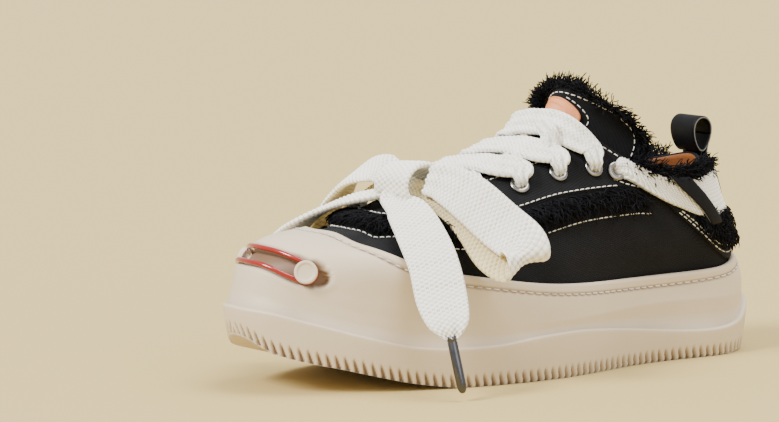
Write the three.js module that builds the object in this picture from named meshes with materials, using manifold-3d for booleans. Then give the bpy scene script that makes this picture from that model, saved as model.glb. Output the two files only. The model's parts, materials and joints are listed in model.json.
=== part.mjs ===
// A left canvas sneaker with a chunky cup sole, frayed edges and flat laces.
// Millimetres, +Z up, toe towards -Y, the wearer's outer (lateral) side towards +X.
// The ground is z = 0 and the origin is under the middle of the sole.
import * as THREE from "three";
import { mergeVertices } from "three/addons/utils/BufferGeometryUtils.js";
import Module from "manifold-3d";

const wasm = await Module();
wasm.setup();

// Sole
const SOLE_LENGTH = 296;
const BALL_WIDTH = 110;
const TOE_SPRING = 29;
const HEEL_LIFT = 2.5;
const FOREFOOT_THICKNESS = 20;
const HEEL_THICKNESS = 26;
const TOE_THICKNESS = 13;
const LEDGE_STEP = 2.6;
const BAND_DRAFT = 2.4;
const CUP_WALL_LOW = 8;
const CUP_WALL_TOP = 3.4;
const RIB_PITCH = 5.4;
const RIB_WIDTH = 2;
const RIB_DEPTH = 1.5;
const RIB_HEIGHT = 7;
const HEEL_RIB_SLANT = 0.5;

// Upper, tongue and insole
const COLLAR_HEIGHT = 100;
const UPPER_WALL = 2;
const EYESTAY_STEP = 1;
const SEAM_GAP = 0.3;
const INSOLE_THICKNESS = 4;
const TONGUE_THICKNESS = 3.6;
const TONGUE_WIDTH = 52;
const PATCH_DIAMETER = 21;
const PATCH_THICKNESS = 1.4;

// Trim
const EYELET_DIAMETER = 10;
const EYELET_BORE = 4.4;
const EYELET_WALL = 0.7;
const EYELET_RISE = 1.1;
const EYELET_PLACES = [0.43, 0.53, 0.62, 0.692];
const SIDE_EYELET_PLACE = 0.737;
const VENT_PLACE = 0.24;
const FRINGE_LENGTH = 8;
const FRINGE_THICKNESS = 2.6;
const FRINGE_LOCK = 10;
const STRAP_THICKNESS = 1.6;
const PULL_WIDTH = 20;
const PULL_HEIGHT = 22;
const KEEPER_WIDTH = 8.5;
const BUTTON_SPACING = 55;
const BUTTON_DIAMETER = 11;
const BUTTON_THICKNESS = 2.6;
const POST_DIAMETER = 5.4;
const TOE_BAND_DIAMETER = 2.4;
const SLOT_HEIGHT = 13;
const SLOT_DEPTH = 4.4;

// Laces
const LACE_WIDTH = 24;
const LACE_THICKNESS = 2.6;
const CROSSING_WIDTH = 14;
const BAND_WIDTH = 20;
const AGLET_LENGTH = 27;
const AGLET_DIAMETER = 4.6;

const COLUMNS = 22;
const RUBBER = { color: 0xd8cdc0, roughness: 0.6, metalness: 0 };
const CANVAS = { color: 0x17171b, roughness: 0.95, metalness: 0 };
const YARN = { color: 0x0d0d10, roughness: 1, metalness: 0 };
const LEATHER = { color: 0x83390f, roughness: 0.7, metalness: 0 };
const STRAP = { color: 0x1b1b1e, roughness: 0.6, metalness: 0 };
const PEACH = { color: 0xf0b894, roughness: 0.6, metalness: 0 };
const RED = { color: 0xc8321a, roughness: 0.3, metalness: 0 };
const METAL = { color: 0x5c5c60, roughness: 0.3, metalness: 1 };
const LACE = { color: 0xe9e6dc, roughness: 0.9, metalness: 0 };

const shoe = new THREE.Group();
const vec = (x, y, z) => new THREE.Vector3(x, y, z);

function addMesh(name, geometry, look) {
  const mesh = new THREE.Mesh(geometry, new THREE.MeshStandardMaterial(look));
  mesh.name = name;
  shoe.add(mesh);
  return mesh;
}

// A smooth value of a table of [place, value] rows.
function smooth(table, place) {
  const last = table.length - 1;
  let row = 0;
  while (row < last - 1 && place > table[row + 1][0]) row += 1;
  const slope = (k) => {
    const low = Math.max(k - 1, 0);
    const high = Math.min(k + 1, last);
    return (table[high][1] - table[low][1]) / (table[high][0] - table[low][0]);
  };
  const [from, start] = table[row];
  const [to, end] = table[row + 1];
  const span = to - from;
  const s = (Math.min(Math.max(place, table[0][0]), table[last][0]) - from) / span;
  return (
    (2 * s ** 3 - 3 * s ** 2 + 1) * start +
    (s ** 3 - 2 * s ** 2 + s) * span * slope(row) +
    (-2 * s ** 3 + 3 * s ** 2) * end +
    (s ** 3 - s ** 2) * span * slope(row + 1)
  );
}

// Half widths of the sole's outline, as shares of the ball width, from toe (0) to heel (1).
const OUTLINE = {
  lateral: [[0, 0.455], [0.167, 0.49], [0.333, 0.508], [0.5, 0.49], [0.667, 0.36], [0.833, 0.468], [1, 0.438]],
  medial: [[0, 0.447], [0.167, 0.494], [0.333, 0.536], [0.5, 0.436], [0.667, 0.382], [0.833, 0.49], [1, 0.42]],
};
const CORNER_ROUNDNESS = 0.85;

// A place runs from -1 (heel) over the medial side to 0 (toe) and over the lateral side to 1 (heel).
function outlinePoint(place, inset) {
  const at = (p) => {
    const table = p < 0 ? OUTLINE.medial : OUTLINE.lateral;
    const along = Math.abs(p);
    const bulge = Math.max(Math.sin(Math.PI * along), 0) ** CORNER_ROUNDNESS;
    const x = Math.sign(p) * smooth(table, along) * BALL_WIDTH * bulge;
    return new THREE.Vector2(x, -0.5 * SOLE_LENGTH * Math.cos(Math.PI * along));
  };
  const step = 1e-3;
  const wrap = (p) => (p > 1 ? p - 2 : p < -1 ? p + 2 : p);
  const tangent = at(wrap(place + step)).sub(at(wrap(place - step))).normalize();
  return at(place).sub(new THREE.Vector2(tangent.y, -tangent.x).multiplyScalar(inset));
}

// Height of the underside, the cup floor and the ledge, along the shoe.
const SPRING_CURVE = [
  [-0.5, 1], [-0.46, 0.66], [-0.36, 0.385], [-0.28, 0.18], [-0.23, 0.08], [-0.16, 0], [0.42, 0], [0.5, 1],
];
const THICKNESS_CURVE = [[-0.5, 0], [-0.4, 0.45], [-0.25, 1], [0.5, 1]];
const LEDGE_CURVE = [
  [0, 40.5], [0.11, 38.8], [0.2, 33], [0.27, 26.6], [0.34, 20.6], [0.42, 19.4], [0.49, 22],
  [0.55, 22.2], [0.7, 15.4], [0.78, 14.4], [0.85, 17.5], [0.92, 25], [1, 29],
];

function undersideHeight(y) {
  const share = smooth(SPRING_CURVE, y / SOLE_LENGTH);
  return Math.max(share, 0) * (y < 0 ? TOE_SPRING : HEEL_LIFT);
}

function floorHeight(y) {
  const along = y / SOLE_LENGTH;
  const front = THREE.MathUtils.lerp(TOE_THICKNESS, FOREFOOT_THICKNESS, smooth(THICKNESS_CURVE, along));
  const rear = THREE.MathUtils.smoothstep(along, -0.15, 0.25);
  return undersideHeight(y) * (y < 0 ? 1 : 0) + THREE.MathUtils.lerp(front, HEEL_THICKNESS, rear);
}

const ledgeHeight = (place) => smooth(LEDGE_CURVE, Math.abs(place)) * (TOE_SPRING + TOE_THICKNESS) / 42;

// Sections of the upper's outside, from toe to heel. Each row holds its place, then four points up the
// side: low side, shoulder, eyelet line and top edge. x is a share of the ball width, y of the sole
// length and z of the collar height.
const SECTIONS = [
  [0, [0, -0.419, 0.66], [0, -0.345, 0.705], [0, -0.27, 0.755], [0, -0.203, 0.83]],
  [0.1, [0.165, -0.396, 0.64], [0.128, -0.331, 0.7], [0.095, -0.263, 0.755], [0.075, -0.199, 0.832]],
  [0.2, [0.3, -0.338, 0.605], [0.236, -0.295, 0.68], [0.175, -0.243, 0.76], [0.125, -0.182, 0.85]],
  [0.3, [0.382, -0.26, 0.58], [0.318, -0.23, 0.7], [0.24, -0.195, 0.79], [0.142, -0.142, 0.89]],
  [0.4, [0.418, -0.152, 0.57], [0.354, -0.135, 0.71], [0.262, -0.118, 0.825], [0.146, -0.075, 0.935]],
  [0.5, [0.41, -0.017, 0.58], [0.352, -0.027, 0.74], [0.25, -0.037, 0.885], [0.15, -0.007, 0.98]],
  [0.6, [0.366, 0.122, 0.61], [0.325, 0.081, 0.79], [0.238, 0.047, 0.945], [0.146, 0.068, 1.04]],
  [0.7, [0.32, 0.247, 0.61], [0.296, 0.189, 0.8], [0.236, 0.145, 0.965], [0.14, 0.142, 1.13]],
  [0.8, [0.285, 0.341, 0.6], [0.282, 0.287, 0.78], [0.268, 0.24, 0.9], [0.236, 0.213, 1.0]],
  [0.88, [0.248, 0.392, 0.6], [0.262, 0.349, 0.77], [0.268, 0.318, 0.87], [0.265, 0.3, 0.935]],
  [0.95, [0.147, 0.433, 0.6], [0.162, 0.402, 0.77], [0.168, 0.386, 0.88], [0.17, 0.373, 0.965]],
  [1, [0, 0.448, 0.61], [0, 0.43, 0.78], [0, 0.416, 0.9], [0, 0.405, 1.0]],
];
// Insets of the upper's foot and of its lower side from the outline, and the lower side's height.
const FOOT_INSET = [[0, 14.5], [0.2, 12.5], [0.4, 11], [0.6, 9], [0.8, 9], [0.9, 10.5], [1, 13.5]];
const SIDE_INSET = [
  [0, 13], [0.1, 12], [0.2, 10], [0.3, 8.5], [0.4, 8], [0.6, 6.8], [0.8, 6.8], [0.9, 8.5], [1, 12],
];
const SIDE_HEIGHT = [[0, 0.55], [0.1, 0.54], [0.2, 0.48], [0.3, 0.43], [0.4, 0.41], [0.8, 0.4], [1, 0.42]];
const TOP_LEVEL = 5;

function mirroredCurve(place, level, axis) {
  const scale = [BALL_WIDTH, SOLE_LENGTH, COLLAR_HEIGHT][axis];
  const rows = SECTIONS.map((row) => [row[0], row[level - 1][axis] * scale]);
  const sign = axis === 0 ? -1 : 1;
  const end = rows.length - 1;
  const before = [-rows[1][0], sign * rows[1][1]];
  const after = [2 - rows[end - 1][0], sign * rows[end - 1][1]];
  return smooth([before, ...rows, after], place);
}

// A point of the upper's outside: level 0 is the foot, 1 the lower side and 5 the top edge.
function controlPoint(place, level) {
  const along = Math.abs(place);
  if (level === 0) {
    const foot = outlinePoint(place, smooth(FOOT_INSET, along));
    return vec(foot.x, foot.y, floorHeight(foot.y) + SEAM_GAP);
  }
  if (level === 1) {
    const side = outlinePoint(place, smooth(SIDE_INSET, along));
    return vec(side.x, side.y, smooth(SIDE_HEIGHT, along) * COLLAR_HEIGHT);
  }
  const [x, y, z] = [0, 1, 2].map((axis) => mirroredCurve(along, level, axis));
  return vec(place < 0 ? -x : x, y, z);
}

const columnCache = new Map();
function upperPoint(place, level) {
  const wrapped = place > 1 ? place - 2 : place < -1 ? place + 2 : place;
  if (!columnCache.has(wrapped)) {
    const points = [0, 1, 2, 3, 4, 5].map((k) => controlPoint(wrapped, k));
    columnCache.set(wrapped, new THREE.CatmullRomCurve3(points, false, "catmullrom", 0.5));
  }
  return columnCache.get(wrapped).getPoint(level / TOP_LEVEL);
}

function upperNormal(place, level) {
  const step = 0.004;
  const low = Math.max(level - 0.05, 0);
  const high = Math.min(level + 0.05, TOP_LEVEL);
  const around = upperPoint(place + step, level).sub(upperPoint(place - step, level));
  const up = upperPoint(place, high).sub(upperPoint(place, low));
  return around.cross(up).normalize();
}

function offsetPoint(place, level, offset) {
  return upperPoint(place, level).addScaledVector(upperNormal(place, level), offset);
}

// Level of the rubber's top edge and of the eyestay's lower edge.
const RUBBER_LEVEL = [
  [0, 3], [0.1, 2.98], [0.2, 2.62], [0.3, 2.12], [0.4, 1.68],
  [0.5, 1.27], [0.6, 1.16], [0.8, 1.22], [0.9, 1.32], [1, 1.38],
];
const EYESTAY_LEVEL = [
  [0, 4.45], [0.15, 4.35], [0.3, 3.9], [0.42, 3.5], [0.55, 3.42],
  [0.7, 3.45], [0.78, 3.7], [0.81, 4.97], [1, 4.97],
];
const rubberLevel = (place) => smooth(RUBBER_LEVEL, Math.abs(place));
const eyestayLevel = (place) => Math.min(smooth(EYESTAY_LEVEL, Math.abs(place)), 4.97);
const EYESTAY_END = 0.8;
function stepHeight(place, level) {
  const onEyestay = Math.abs(place) < EYESTAY_END && level > eyestayLevel(place);
  return onEyestay ? EYESTAY_STEP : 0;
}
const raisedPoint = (place, level, offset) => offsetPoint(place, level, offset + stepHeight(place, level));

// Solids: a closed ring of columns, a strip of sections with two caps, and their joins and cuts.
function geometryOf(points, triangles) {
  const flat = [];
  triangles.forEach((triangle) => triangle.forEach((corner) => flat.push(...points[corner].toArray())));
  const soup = new THREE.BufferGeometry();
  soup.setAttribute("position", new THREE.Float32BufferAttribute(flat, 3));
  return mergeVertices(soup, 1e-4);
}

function quads(rows, closedAcross, closedAlong) {
  const points = rows.flat();
  const count = rows[0].length;
  const triangles = [];
  const lastRow = closedAlong ? rows.length : rows.length - 1;
  const lastColumn = closedAcross ? count : count - 1;
  for (let i = 0; i < lastRow; i += 1) {
    for (let j = 0; j < lastColumn; j += 1) {
      const a = i * count + j;
      const b = i * count + ((j + 1) % count);
      const c = ((i + 1) % rows.length) * count + ((j + 1) % count);
      const d = ((i + 1) % rows.length) * count + j;
      const split = points[a].distanceTo(points[c]) < points[b].distanceTo(points[d]) * 1.001;
      triangles.push(...(split ? [[a, b, c], [a, c, d]] : [[a, b, d], [b, c, d]]));
    }
  }
  return { points, triangles };
}

const sameSpot = (a, b) => a.distanceToSquared(b) < 1e-8;
const isFlat = ([a, b, c]) => sameSpot(a, b) || sameSpot(b, c) || sameSpot(c, a);

function solidOfGrid(rows, closedAlong) {
  const { points, triangles } = quads(rows, true, closedAlong);
  if (!closedAlong) {
    const count = rows[0].length;
    const last = (rows.length - 1) * count;
    for (let j = 1; j < count - 1; j += 1) {
      triangles.push([0, j + 1, j], [last, last + j, last + j + 1]);
    }
  }
  const real = triangles.filter((corners) => !isFlat(corners.map((corner) => points[corner])));
  return facingOut(geometryOf(points, real));
}

function toSolid(geometry) {
  const bare = new THREE.BufferGeometry();
  bare.setAttribute("position", geometry.getAttribute("position"));
  bare.setIndex(geometry.index);
  const merged = mergeVertices(bare, 1e-4);
  const triVerts = new Uint32Array(merged.index.array);
  const vertProperties = merged.attributes.position.array;
  return new wasm.Manifold(new wasm.Mesh({ numProp: 3, vertProperties, triVerts }));
}

function toGeometry(solid) {
  const mesh = solid.getMesh();
  const geometry = new THREE.BufferGeometry();
  geometry.setAttribute("position", new THREE.BufferAttribute(new Float32Array(mesh.vertProperties), 3));
  geometry.setIndex(new THREE.BufferAttribute(new Uint32Array(mesh.triVerts), 1));
  return geometry;
}

function facingOut(geometry) {
  if (toSolid(geometry).volume() > 0) return geometry;
  const index = geometry.index.array;
  for (let i = 0; i < index.length; i += 3) {
    [index[i + 1], index[i + 2]] = [index[i + 2], index[i + 1]];
  }
  return geometry;
}

function join(first, ...others) {
  return toGeometry(others.reduce((sum, other) => sum.add(toSolid(other)), toSolid(first)));
}

function cut(first, ...others) {
  return toGeometry(others.reduce((rest, other) => rest.subtract(toSolid(other)), toSolid(first)));
}

// Places of the columns all round, from the heel over the medial side to the toe and back.
const ringPlaces = Array.from({ length: 2 * COLUMNS }, (unused, k) => k / COLUMNS - 1);

// A solid of open columns that all start and end on the centre line.
function ringSolid(columns) {
  const { points, triangles } = quads(columns, false, true);
  const real = triangles.filter((corners) => !isFlat(corners.map((corner) => points[corner])));
  return facingOut(geometryOf(points, real));
}

function centrePoint(place, inset, height) {
  const y = -(0.5 * SOLE_LENGTH - inset) * Math.cos(Math.PI * place);
  return vec(0, y, height(y));
}

// Cup sole: underside, ribbed band, ledge, side wall that rises into the toe cap, and the cup inside.
const CENTRE_INSET = 24;
const WALL_LEVELS = [0.3, 0.55, 0.8, 1];
const CUP_SHARES = [0, 0.25, 0.5, 0.75, 1];
const LEDGE_ROUND = 1.4;

function wallThickness(place, level) {
  const share = Math.min(level / rubberLevel(place), 1);
  return THREE.MathUtils.lerp(CUP_WALL_LOW, CUP_WALL_TOP, share);
}

function wallPoint(place, level, offset) {
  return offsetPoint(place, level, SEAM_GAP + wallThickness(place, level) + offset);
}

function soleColumn(place) {
  const at = (inset, height) => {
    const spot = outlinePoint(place, inset);
    return vec(spot.x, spot.y, height(spot.y));
  };
  const ledge = ledgeHeight(place);
  const top = rubberLevel(place);
  const cup = CUP_SHARES.map((share) => offsetPoint(place, top * share, SEAM_GAP)).reverse();
  const corner = cup.pop();
  return [
    centrePoint(place, CENTRE_INSET, undersideHeight),
    at(BAND_DRAFT, undersideHeight),
    at(0, () => ledge - LEDGE_ROUND),
    at(0.6 * LEDGE_ROUND, () => ledge),
    at(LEDGE_STEP, () => ledge + 0.2),
    ...WALL_LEVELS.map((share) => wallPoint(place, top * share, 0)),
    offsetPoint(place, top + 0.05, SEAM_GAP + 0.55 * CUP_WALL_TOP),
    ...cup,
    vec(corner.x, corner.y, floorHeight(corner.y)),
    centrePoint(place, CENTRE_INSET, floorHeight),
  ];
}

// Ribs: slanted grooves in the lower half of the band, all the way round.
function ribCutters() {
  const samples = 1200;
  const spots = Array.from({ length: samples }, (unused, k) => (2 * k) / samples - 1);
  const cutters = [];
  let walked = 0;
  spots.forEach((place, k) => {
    const here = outlinePoint(place, 0);
    walked += here.distanceTo(outlinePoint(spots[(k + samples - 1) % samples], 0));
    if (walked < RIB_PITCH) return;
    walked -= RIB_PITCH;
    const ahead = outlinePoint(Math.min(place + 1e-3, 1), 0).sub(here).normalize();
    const out = new THREE.Vector2(ahead.y, -ahead.x);
    const slant = HEEL_RIB_SLANT * (here.y > 0 ? 1 : 0.6) * Math.sign(place || 1);
    const corner = (along, depth, height) => {
      const spot = here.clone().addScaledVector(ahead, along + slant * height).addScaledVector(out, depth);
      return vec(spot.x, spot.y, undersideHeight(here.y) + height);
    };
    const triangle = (depth, height) => [
      corner(-0.5 * RIB_WIDTH, depth + 1, height),
      corner(0.5 * RIB_WIDTH, depth + 1, height),
      corner(0, depth - RIB_DEPTH, height),
    ];
    cutters.push([triangle(-BAND_DRAFT, -1), triangle(-0.55 * BAND_DRAFT, RIB_HEIGHT)]);
  });
  return cutters.map((rows) => solidOfGrid(rows, false));
}

// Toe slot: a round-ended recess across the toe cap, between the two buttons.
const SLOT_LEVEL = 1.4;

function placeWhere(test) {
  let low = 0;
  let high = 0.4;
  for (let k = 0; k < 40; k += 1) {
    const middle = 0.5 * (low + high);
    if (test(middle)) low = middle;
    else high = middle;
  }
  return low;
}
const buttonPlace = placeWhere((place) => wallPoint(place, SLOT_LEVEL, 0).x < 0.5 * BUTTON_SPACING);
const slotEndPlace = placeWhere(
  (place) => wallPoint(place, SLOT_LEVEL, 0).x < 0.5 * (BUTTON_SPACING + SLOT_HEIGHT),
);

// Local frame of the toe cap's outside: out of it, up it and along it.
function wallFrame(place, level) {
  const rise = wallPoint(place, level + 0.1, 0).sub(wallPoint(place, level - 0.1, 0));
  const along = wallPoint(place + 0.01, level, 0).sub(wallPoint(place - 0.01, level, 0)).normalize();
  const out = along.clone().cross(rise).normalize();
  return { origin: wallPoint(place, level, 0), along, out, up: out.clone().cross(along) };
}

function slotCutter() {
  const steps = 18;
  const rows = Array.from({ length: steps + 1 }, (unused, k) => {
    const share = (2 * k) / steps - 1;
    const place = share * slotEndPlace;
    const { origin, up, out } = wallFrame(place, SLOT_LEVEL);
    const past = Math.max(Math.abs(origin.x) - 0.5 * BUTTON_SPACING, 0) / (0.5 * SLOT_HEIGHT);
    const half = 0.5 * SLOT_HEIGHT * Math.sqrt(Math.max(1 - past * past, 0.02));
    const corner = (height, depth) => origin.clone().addScaledVector(up, height).addScaledVector(out, depth);
    return [corner(-half, 4), corner(half, 4), corner(half, -SLOT_DEPTH), corner(-half, -SLOT_DEPTH)];
  });
  return solidOfGrid(rows, false);
}

const soleBlank = ringSolid(ringPlaces.map(soleColumn));
addMesh("sole", cut(soleBlank, slotCutter(), ...ribCutters()), RUBBER);

// Upper: one hollow wall, open below, at the throat and at the collar, with the eyestay as a step in it.
const QUARTER_SHARES = [0.3, 0.65, 1];
const EYESTAY_SHARES = [0.04, 0.5, 1];
const LINING_LEVELS = [5, 4.3, 3.5, 2.6, 1.7, 0.8, 0];

function upperColumn(place) {
  const seam = eyestayLevel(place);
  const top = rubberLevel(place);
  const cupped = CUP_SHARES.map((share) => offsetPoint(place, top * share, 0));
  const levelFrom = THREE.MathUtils.lerp;
  const quarter = QUARTER_SHARES.map((share) => offsetPoint(place, levelFrom(top, seam, share), 0));
  const raised = EYESTAY_SHARES.map((share) => raisedPoint(place, levelFrom(seam, TOP_LEVEL, share), 0));
  const lining = LINING_LEVELS.map((level) => offsetPoint(place, level, -UPPER_WALL));
  return [...cupped, ...quarter, ...raised, ...lining];
}

const EYELET_LEVEL = 4.05;
const VENT_RISE = 0.5;
const HOLE_RADIUS = 0.5 * EYELET_BORE + EYELET_WALL + SEAM_GAP;
const HOLE_DEPTH = 6 * UPPER_WALL;

// Eyelets: lacing rows on both sides, one below the collar on both sides, and a medial vent.
const eyeletSpots = [["medial", -1], ["lateral", 1]].flatMap(([name, side]) => [
  ...EYELET_PLACES.map((place, k) => [`eyelet_${name}_${k + 1}`, side * place, EYELET_LEVEL]),
  [`side_eyelet_${name}`, side * SIDE_EYELET_PLACE, EYELET_LEVEL],
]);
eyeletSpots.push(["vent_eyelet_medial", -VENT_PLACE, rubberLevel(VENT_PLACE) + VENT_RISE]);

function turnedTo(geometry, direction, origin) {
  const turn = new THREE.Quaternion().setFromUnitVectors(vec(0, 1, 0), direction);
  return geometry.applyQuaternion(turn).translate(origin.x, origin.y, origin.z);
}

function holeCutter([, place, level]) {
  const hole = new THREE.CylinderGeometry(HOLE_RADIUS, HOLE_RADIUS, HOLE_DEPTH, 8);
  return turnedTo(hole, upperNormal(place, level), raisedPoint(place, level, 0));
}

addMesh("upper", cut(solidOfGrid(ringPlaces.map(upperColumn), true), ...eyeletSpots.map(holeCutter)), CANVAS);

function eyeletRing() {
  const bore = 0.5 * EYELET_BORE;
  const barrel = bore + EYELET_WALL;
  const rim = 0.5 * EYELET_DIAMETER;
  const inside = -UPPER_WALL;
  const profile = [
    [bore, inside], [barrel, inside], [barrel, SEAM_GAP], [rim, SEAM_GAP],
    [0.5 * (rim + barrel), SEAM_GAP + EYELET_RISE], [bore, SEAM_GAP + 0.5 * EYELET_RISE], [bore, inside],
  ];
  return new THREE.LatheGeometry(profile.map(([x, y]) => new THREE.Vector2(x, y)), 8);
}

function bareGeometry(geometry) {
  geometry.deleteAttribute("normal");
  geometry.deleteAttribute("uv");
  return facingOut(mergeVertices(geometry, 1e-4));
}

eyeletSpots.forEach(([name, place, level]) => {
  const ring = turnedTo(bareGeometry(eyeletRing()), upperNormal(place, level), raisedPoint(place, level, 0));
  addMesh(name, ring, METAL);
});

// Insole: a board inside the upper's foot.
const INSOLE_RISE = 0.22;

function insoleColumn(place) {
  const inside = -UPPER_WALL - 2 * SEAM_GAP;
  const foot = offsetPoint(place, 0, inside);
  const top = offsetPoint(place, INSOLE_RISE, inside);
  const under = (y) => floorHeight(y) + SEAM_GAP;
  const over = (y) => floorHeight(y) + SEAM_GAP + INSOLE_THICKNESS;
  return [
    centrePoint(place, CENTRE_INSET, under),
    vec(foot.x, foot.y, under(foot.y)),
    vec(top.x, top.y, over(top.y) - 0.4),
    centrePoint(place, CENTRE_INSET, over),
  ];
}
addMesh("insole", ringSolid(ringPlaces.map(insoleColumn)), LEATHER);

// Tongue rows: place along it, then y, z and half width of its middle line, and how far back and
// down its side edges lie, as shares of the sole length, collar height and tongue width.
const TONGUE_ROWS = [
  [0, -0.169, 0.8, 0.3, 0, 0.115],
  [0.2, -0.084, 0.92, 0.4, 0, 0.19],
  [0.4, -0.007, 1.0, 0.45, 0.04, 0.29],
  [0.56, 0.051, 1.07, 0.46, 0.18, 0.34],
  [0.7, 0.088, 1.15, 0.45, 0.74, 0.4],
  [0.85, 0.115, 1.255, 0.45, 0.68, 0.3],
  [1, 0.135, 1.36, 0.42, 0.16, 0.2],
];
const TONGUE_SKEW = 0.12;
const TONGUE_TAPER = 0.45;

function tonguePoint(along, across) {
  const value = (column) => smooth(TONGUE_ROWS.map((row) => [row[0], row[column]]), along);
  const curve = Math.abs(across) ** 1.8;
  const skew = TONGUE_SKEW * TONGUE_WIDTH * across * THREE.MathUtils.smoothstep(along, 0.7, 1);
  return vec(
    across * value(3) * TONGUE_WIDTH,
    value(1) * SOLE_LENGTH + value(4) * TONGUE_WIDTH * curve + skew,
    value(2) * COLLAR_HEIGHT - value(5) * TONGUE_WIDTH * curve,
  );
}

function tongueNormal(along, across) {
  const behind = tonguePoint(Math.max(along - 0.02, 0), across);
  const ahead = tonguePoint(Math.min(along + 0.02, 1), across).sub(behind);
  const beside = tonguePoint(along, Math.max(across - 0.05, -1));
  const side = tonguePoint(along, Math.min(across + 0.05, 1)).sub(beside);
  return side.cross(ahead).normalize();
}

function tongueOffset(along, across, offset) {
  return tonguePoint(along, across).addScaledVector(tongueNormal(along, across), offset);
}

const shares = (count) => Array.from({ length: count }, (unused, k) => k / (count - 1));

const tongueRows = shares(11).map((along) => {
  const thickness = TONGUE_THICKNESS * (1 - TONGUE_TAPER * THREE.MathUtils.smoothstep(along, 0.7, 1));
  const over = shares(7).map((share) => tongueOffset(along, 2 * share - 1, 0));
  const under = shares(7).map((share) => tongueOffset(along, 1 - 2 * share, -thickness));
  return [...over, ...under];
});
addMesh("tongue", solidOfGrid(tongueRows, false), CANVAS);

// Patch on the tongue: a thin disc that follows it, cut off square at its lower side.
const PATCH_ALONG = 0.83;

function blockOn(surface, outline, columns, thickness, gap) {
  const rows = outline.map(([along, low, high]) => {
    const across = shares(columns).map((share) => THREE.MathUtils.lerp(low, high, share));
    const over = across.map((value) => surface(along, value, gap + thickness));
    const under = across.map((value) => surface(along, value, gap)).reverse();
    return [...over, ...under];
  });
  return solidOfGrid(rows, false);
}

const tongueLength =
  tonguePoint(0, 0).distanceTo(tonguePoint(0.5, 0)) + tonguePoint(0.5, 0).distanceTo(tonguePoint(1, 0));
const patchRows = shares(9).map((share) => {
  const angle = Math.PI * THREE.MathUtils.lerp(0.06, 0.94, share);
  const half = 0.5 * PATCH_DIAMETER;
  const reach = (half * Math.sin(angle)) / (0.45 * TONGUE_WIDTH);
  return [PATCH_ALONG - (half * Math.cos(angle)) / tongueLength, -reach, reach];
});
addMesh("tongue_patch", blockOn(tongueOffset, patchRows, 5, PATCH_THICKNESS, 2 * SEAM_GAP), PEACH);

// Heel patch: the frayed counter panel over the rear of the upper.
const HEEL_PATCH_TOP = 3.1;
const HEEL_PATCH_THICKNESS = 1.2;
const HEEL_PATCH_GAP = 2.6 * SEAM_GAP;
const HEEL_PATCH_PLACES = [[0.815, 2.6], [0.845, 1.75], [0.875, 1.45]];

function heelPatch() {
  const half = [
    ...HEEL_PATCH_PLACES.map(([place, low]) => [place, low]),
    ...[0.91, 0.94, 0.97, 1].map((place) => [place, rubberLevel(place) + 0.08]),
  ];
  const rear = half.slice(0, -1).map(([place, low]) => [2 - place, low]).reverse();
  const around = [...half, ...rear].map(([place, low]) => [place, low, HEEL_PATCH_TOP]);
  return blockOn(offsetPoint, around, 4, HEEL_PATCH_THICKNESS, HEEL_PATCH_GAP);
}
addMesh("heel_patch", heelPatch(), CANVAS);

// Fringes: a strip with its locks fused on, along a path of roots. Each root gives a point on the
// surface, the way the threads hang and the way out of the surface.
function fringe(roots, length, thickness) {
  const rows = roots.map(({ at, hang, out }, k) => {
    const ends = k === 0 || k === roots.length - 1;
    const long = ends ? 0.5 : k % 2 ? 1 : 0.62;
    const fat = ends ? 0.5 : k % 2 ? 1 : 0.6;
    const lean = 0.25 * length * Math.sin(2.4 * k);
    const spot = (down, off) => at.clone().addScaledVector(hang, down).addScaledVector(out, off);
    return [
      spot(-0.15 * length, 0),
      spot(-0.15 * length, 0.5 * thickness),
      spot(0.35 * length, thickness * fat),
      spot(length * long + 0.2 * lean, 0.7 * thickness * fat),
      spot(length * long * 0.9, 0),
    ];
  });
  return solidOfGrid(rows, false);
}

function columnsAlong(from, to, spacing, pointAt) {
  const fine = shares(60).map((share) => pointAt(THREE.MathUtils.lerp(from, to, share)));
  const length = fine.slice(1).reduce((sum, point, k) => sum + point.distanceTo(fine[k]), 0);
  const count = 2 * Math.max(Math.round(length / spacing), 2) + 1;
  return shares(count).map((share) => THREE.MathUtils.lerp(from, to, share));
}

// Throat fringe: hangs from the eyestay's lower edge over the quarters and round the throat's front.
const THROAT_FRINGE_END = 0.76;
const THROAT_FRINGE_LENGTH = 12;
const throatPlaces = columnsAlong(-THROAT_FRINGE_END, THROAT_FRINGE_END, FRINGE_LOCK, (place) =>
  upperPoint(place, eyestayLevel(place)),
);
const throatRoots = throatPlaces.map((place) => {
  const level = eyestayLevel(place) - 0.12;
  const out = upperNormal(place, level);
  const hang = upperPoint(place, level - 0.4).sub(upperPoint(place, level)).normalize();
  return { at: offsetPoint(place, level, 2.2 * SEAM_GAP), hang, out };
});
addMesh("throat_fringe", fringe(throatRoots, THROAT_FRINGE_LENGTH, FRINGE_THICKNESS), YARN);

// Collar fringes: they stand on the collar's outside and reach over its edge, clear of the pull loop.
const COLLAR_FRINGE_START = 0.8;
const COLLAR_FRINGE_LEVEL = 4.85;

function collarFringe(side) {
  const end = placeWhereHeel(0.5 * PULL_WIDTH + 1);
  const places = columnsAlong(COLLAR_FRINGE_START, end, FRINGE_LOCK, (place) => upperPoint(place, TOP_LEVEL));
  const roots = places.map((place) => {
    const out = upperNormal(side * place, COLLAR_FRINGE_LEVEL);
    const up = upperPoint(side * place, TOP_LEVEL).sub(upperPoint(side * place, TOP_LEVEL - 0.4)).normalize();
    return { at: offsetPoint(side * place, COLLAR_FRINGE_LEVEL, 2 * SEAM_GAP), hang: up, out };
  });
  return fringe(roots, FRINGE_LENGTH + 3, FRINGE_THICKNESS);
}

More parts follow.
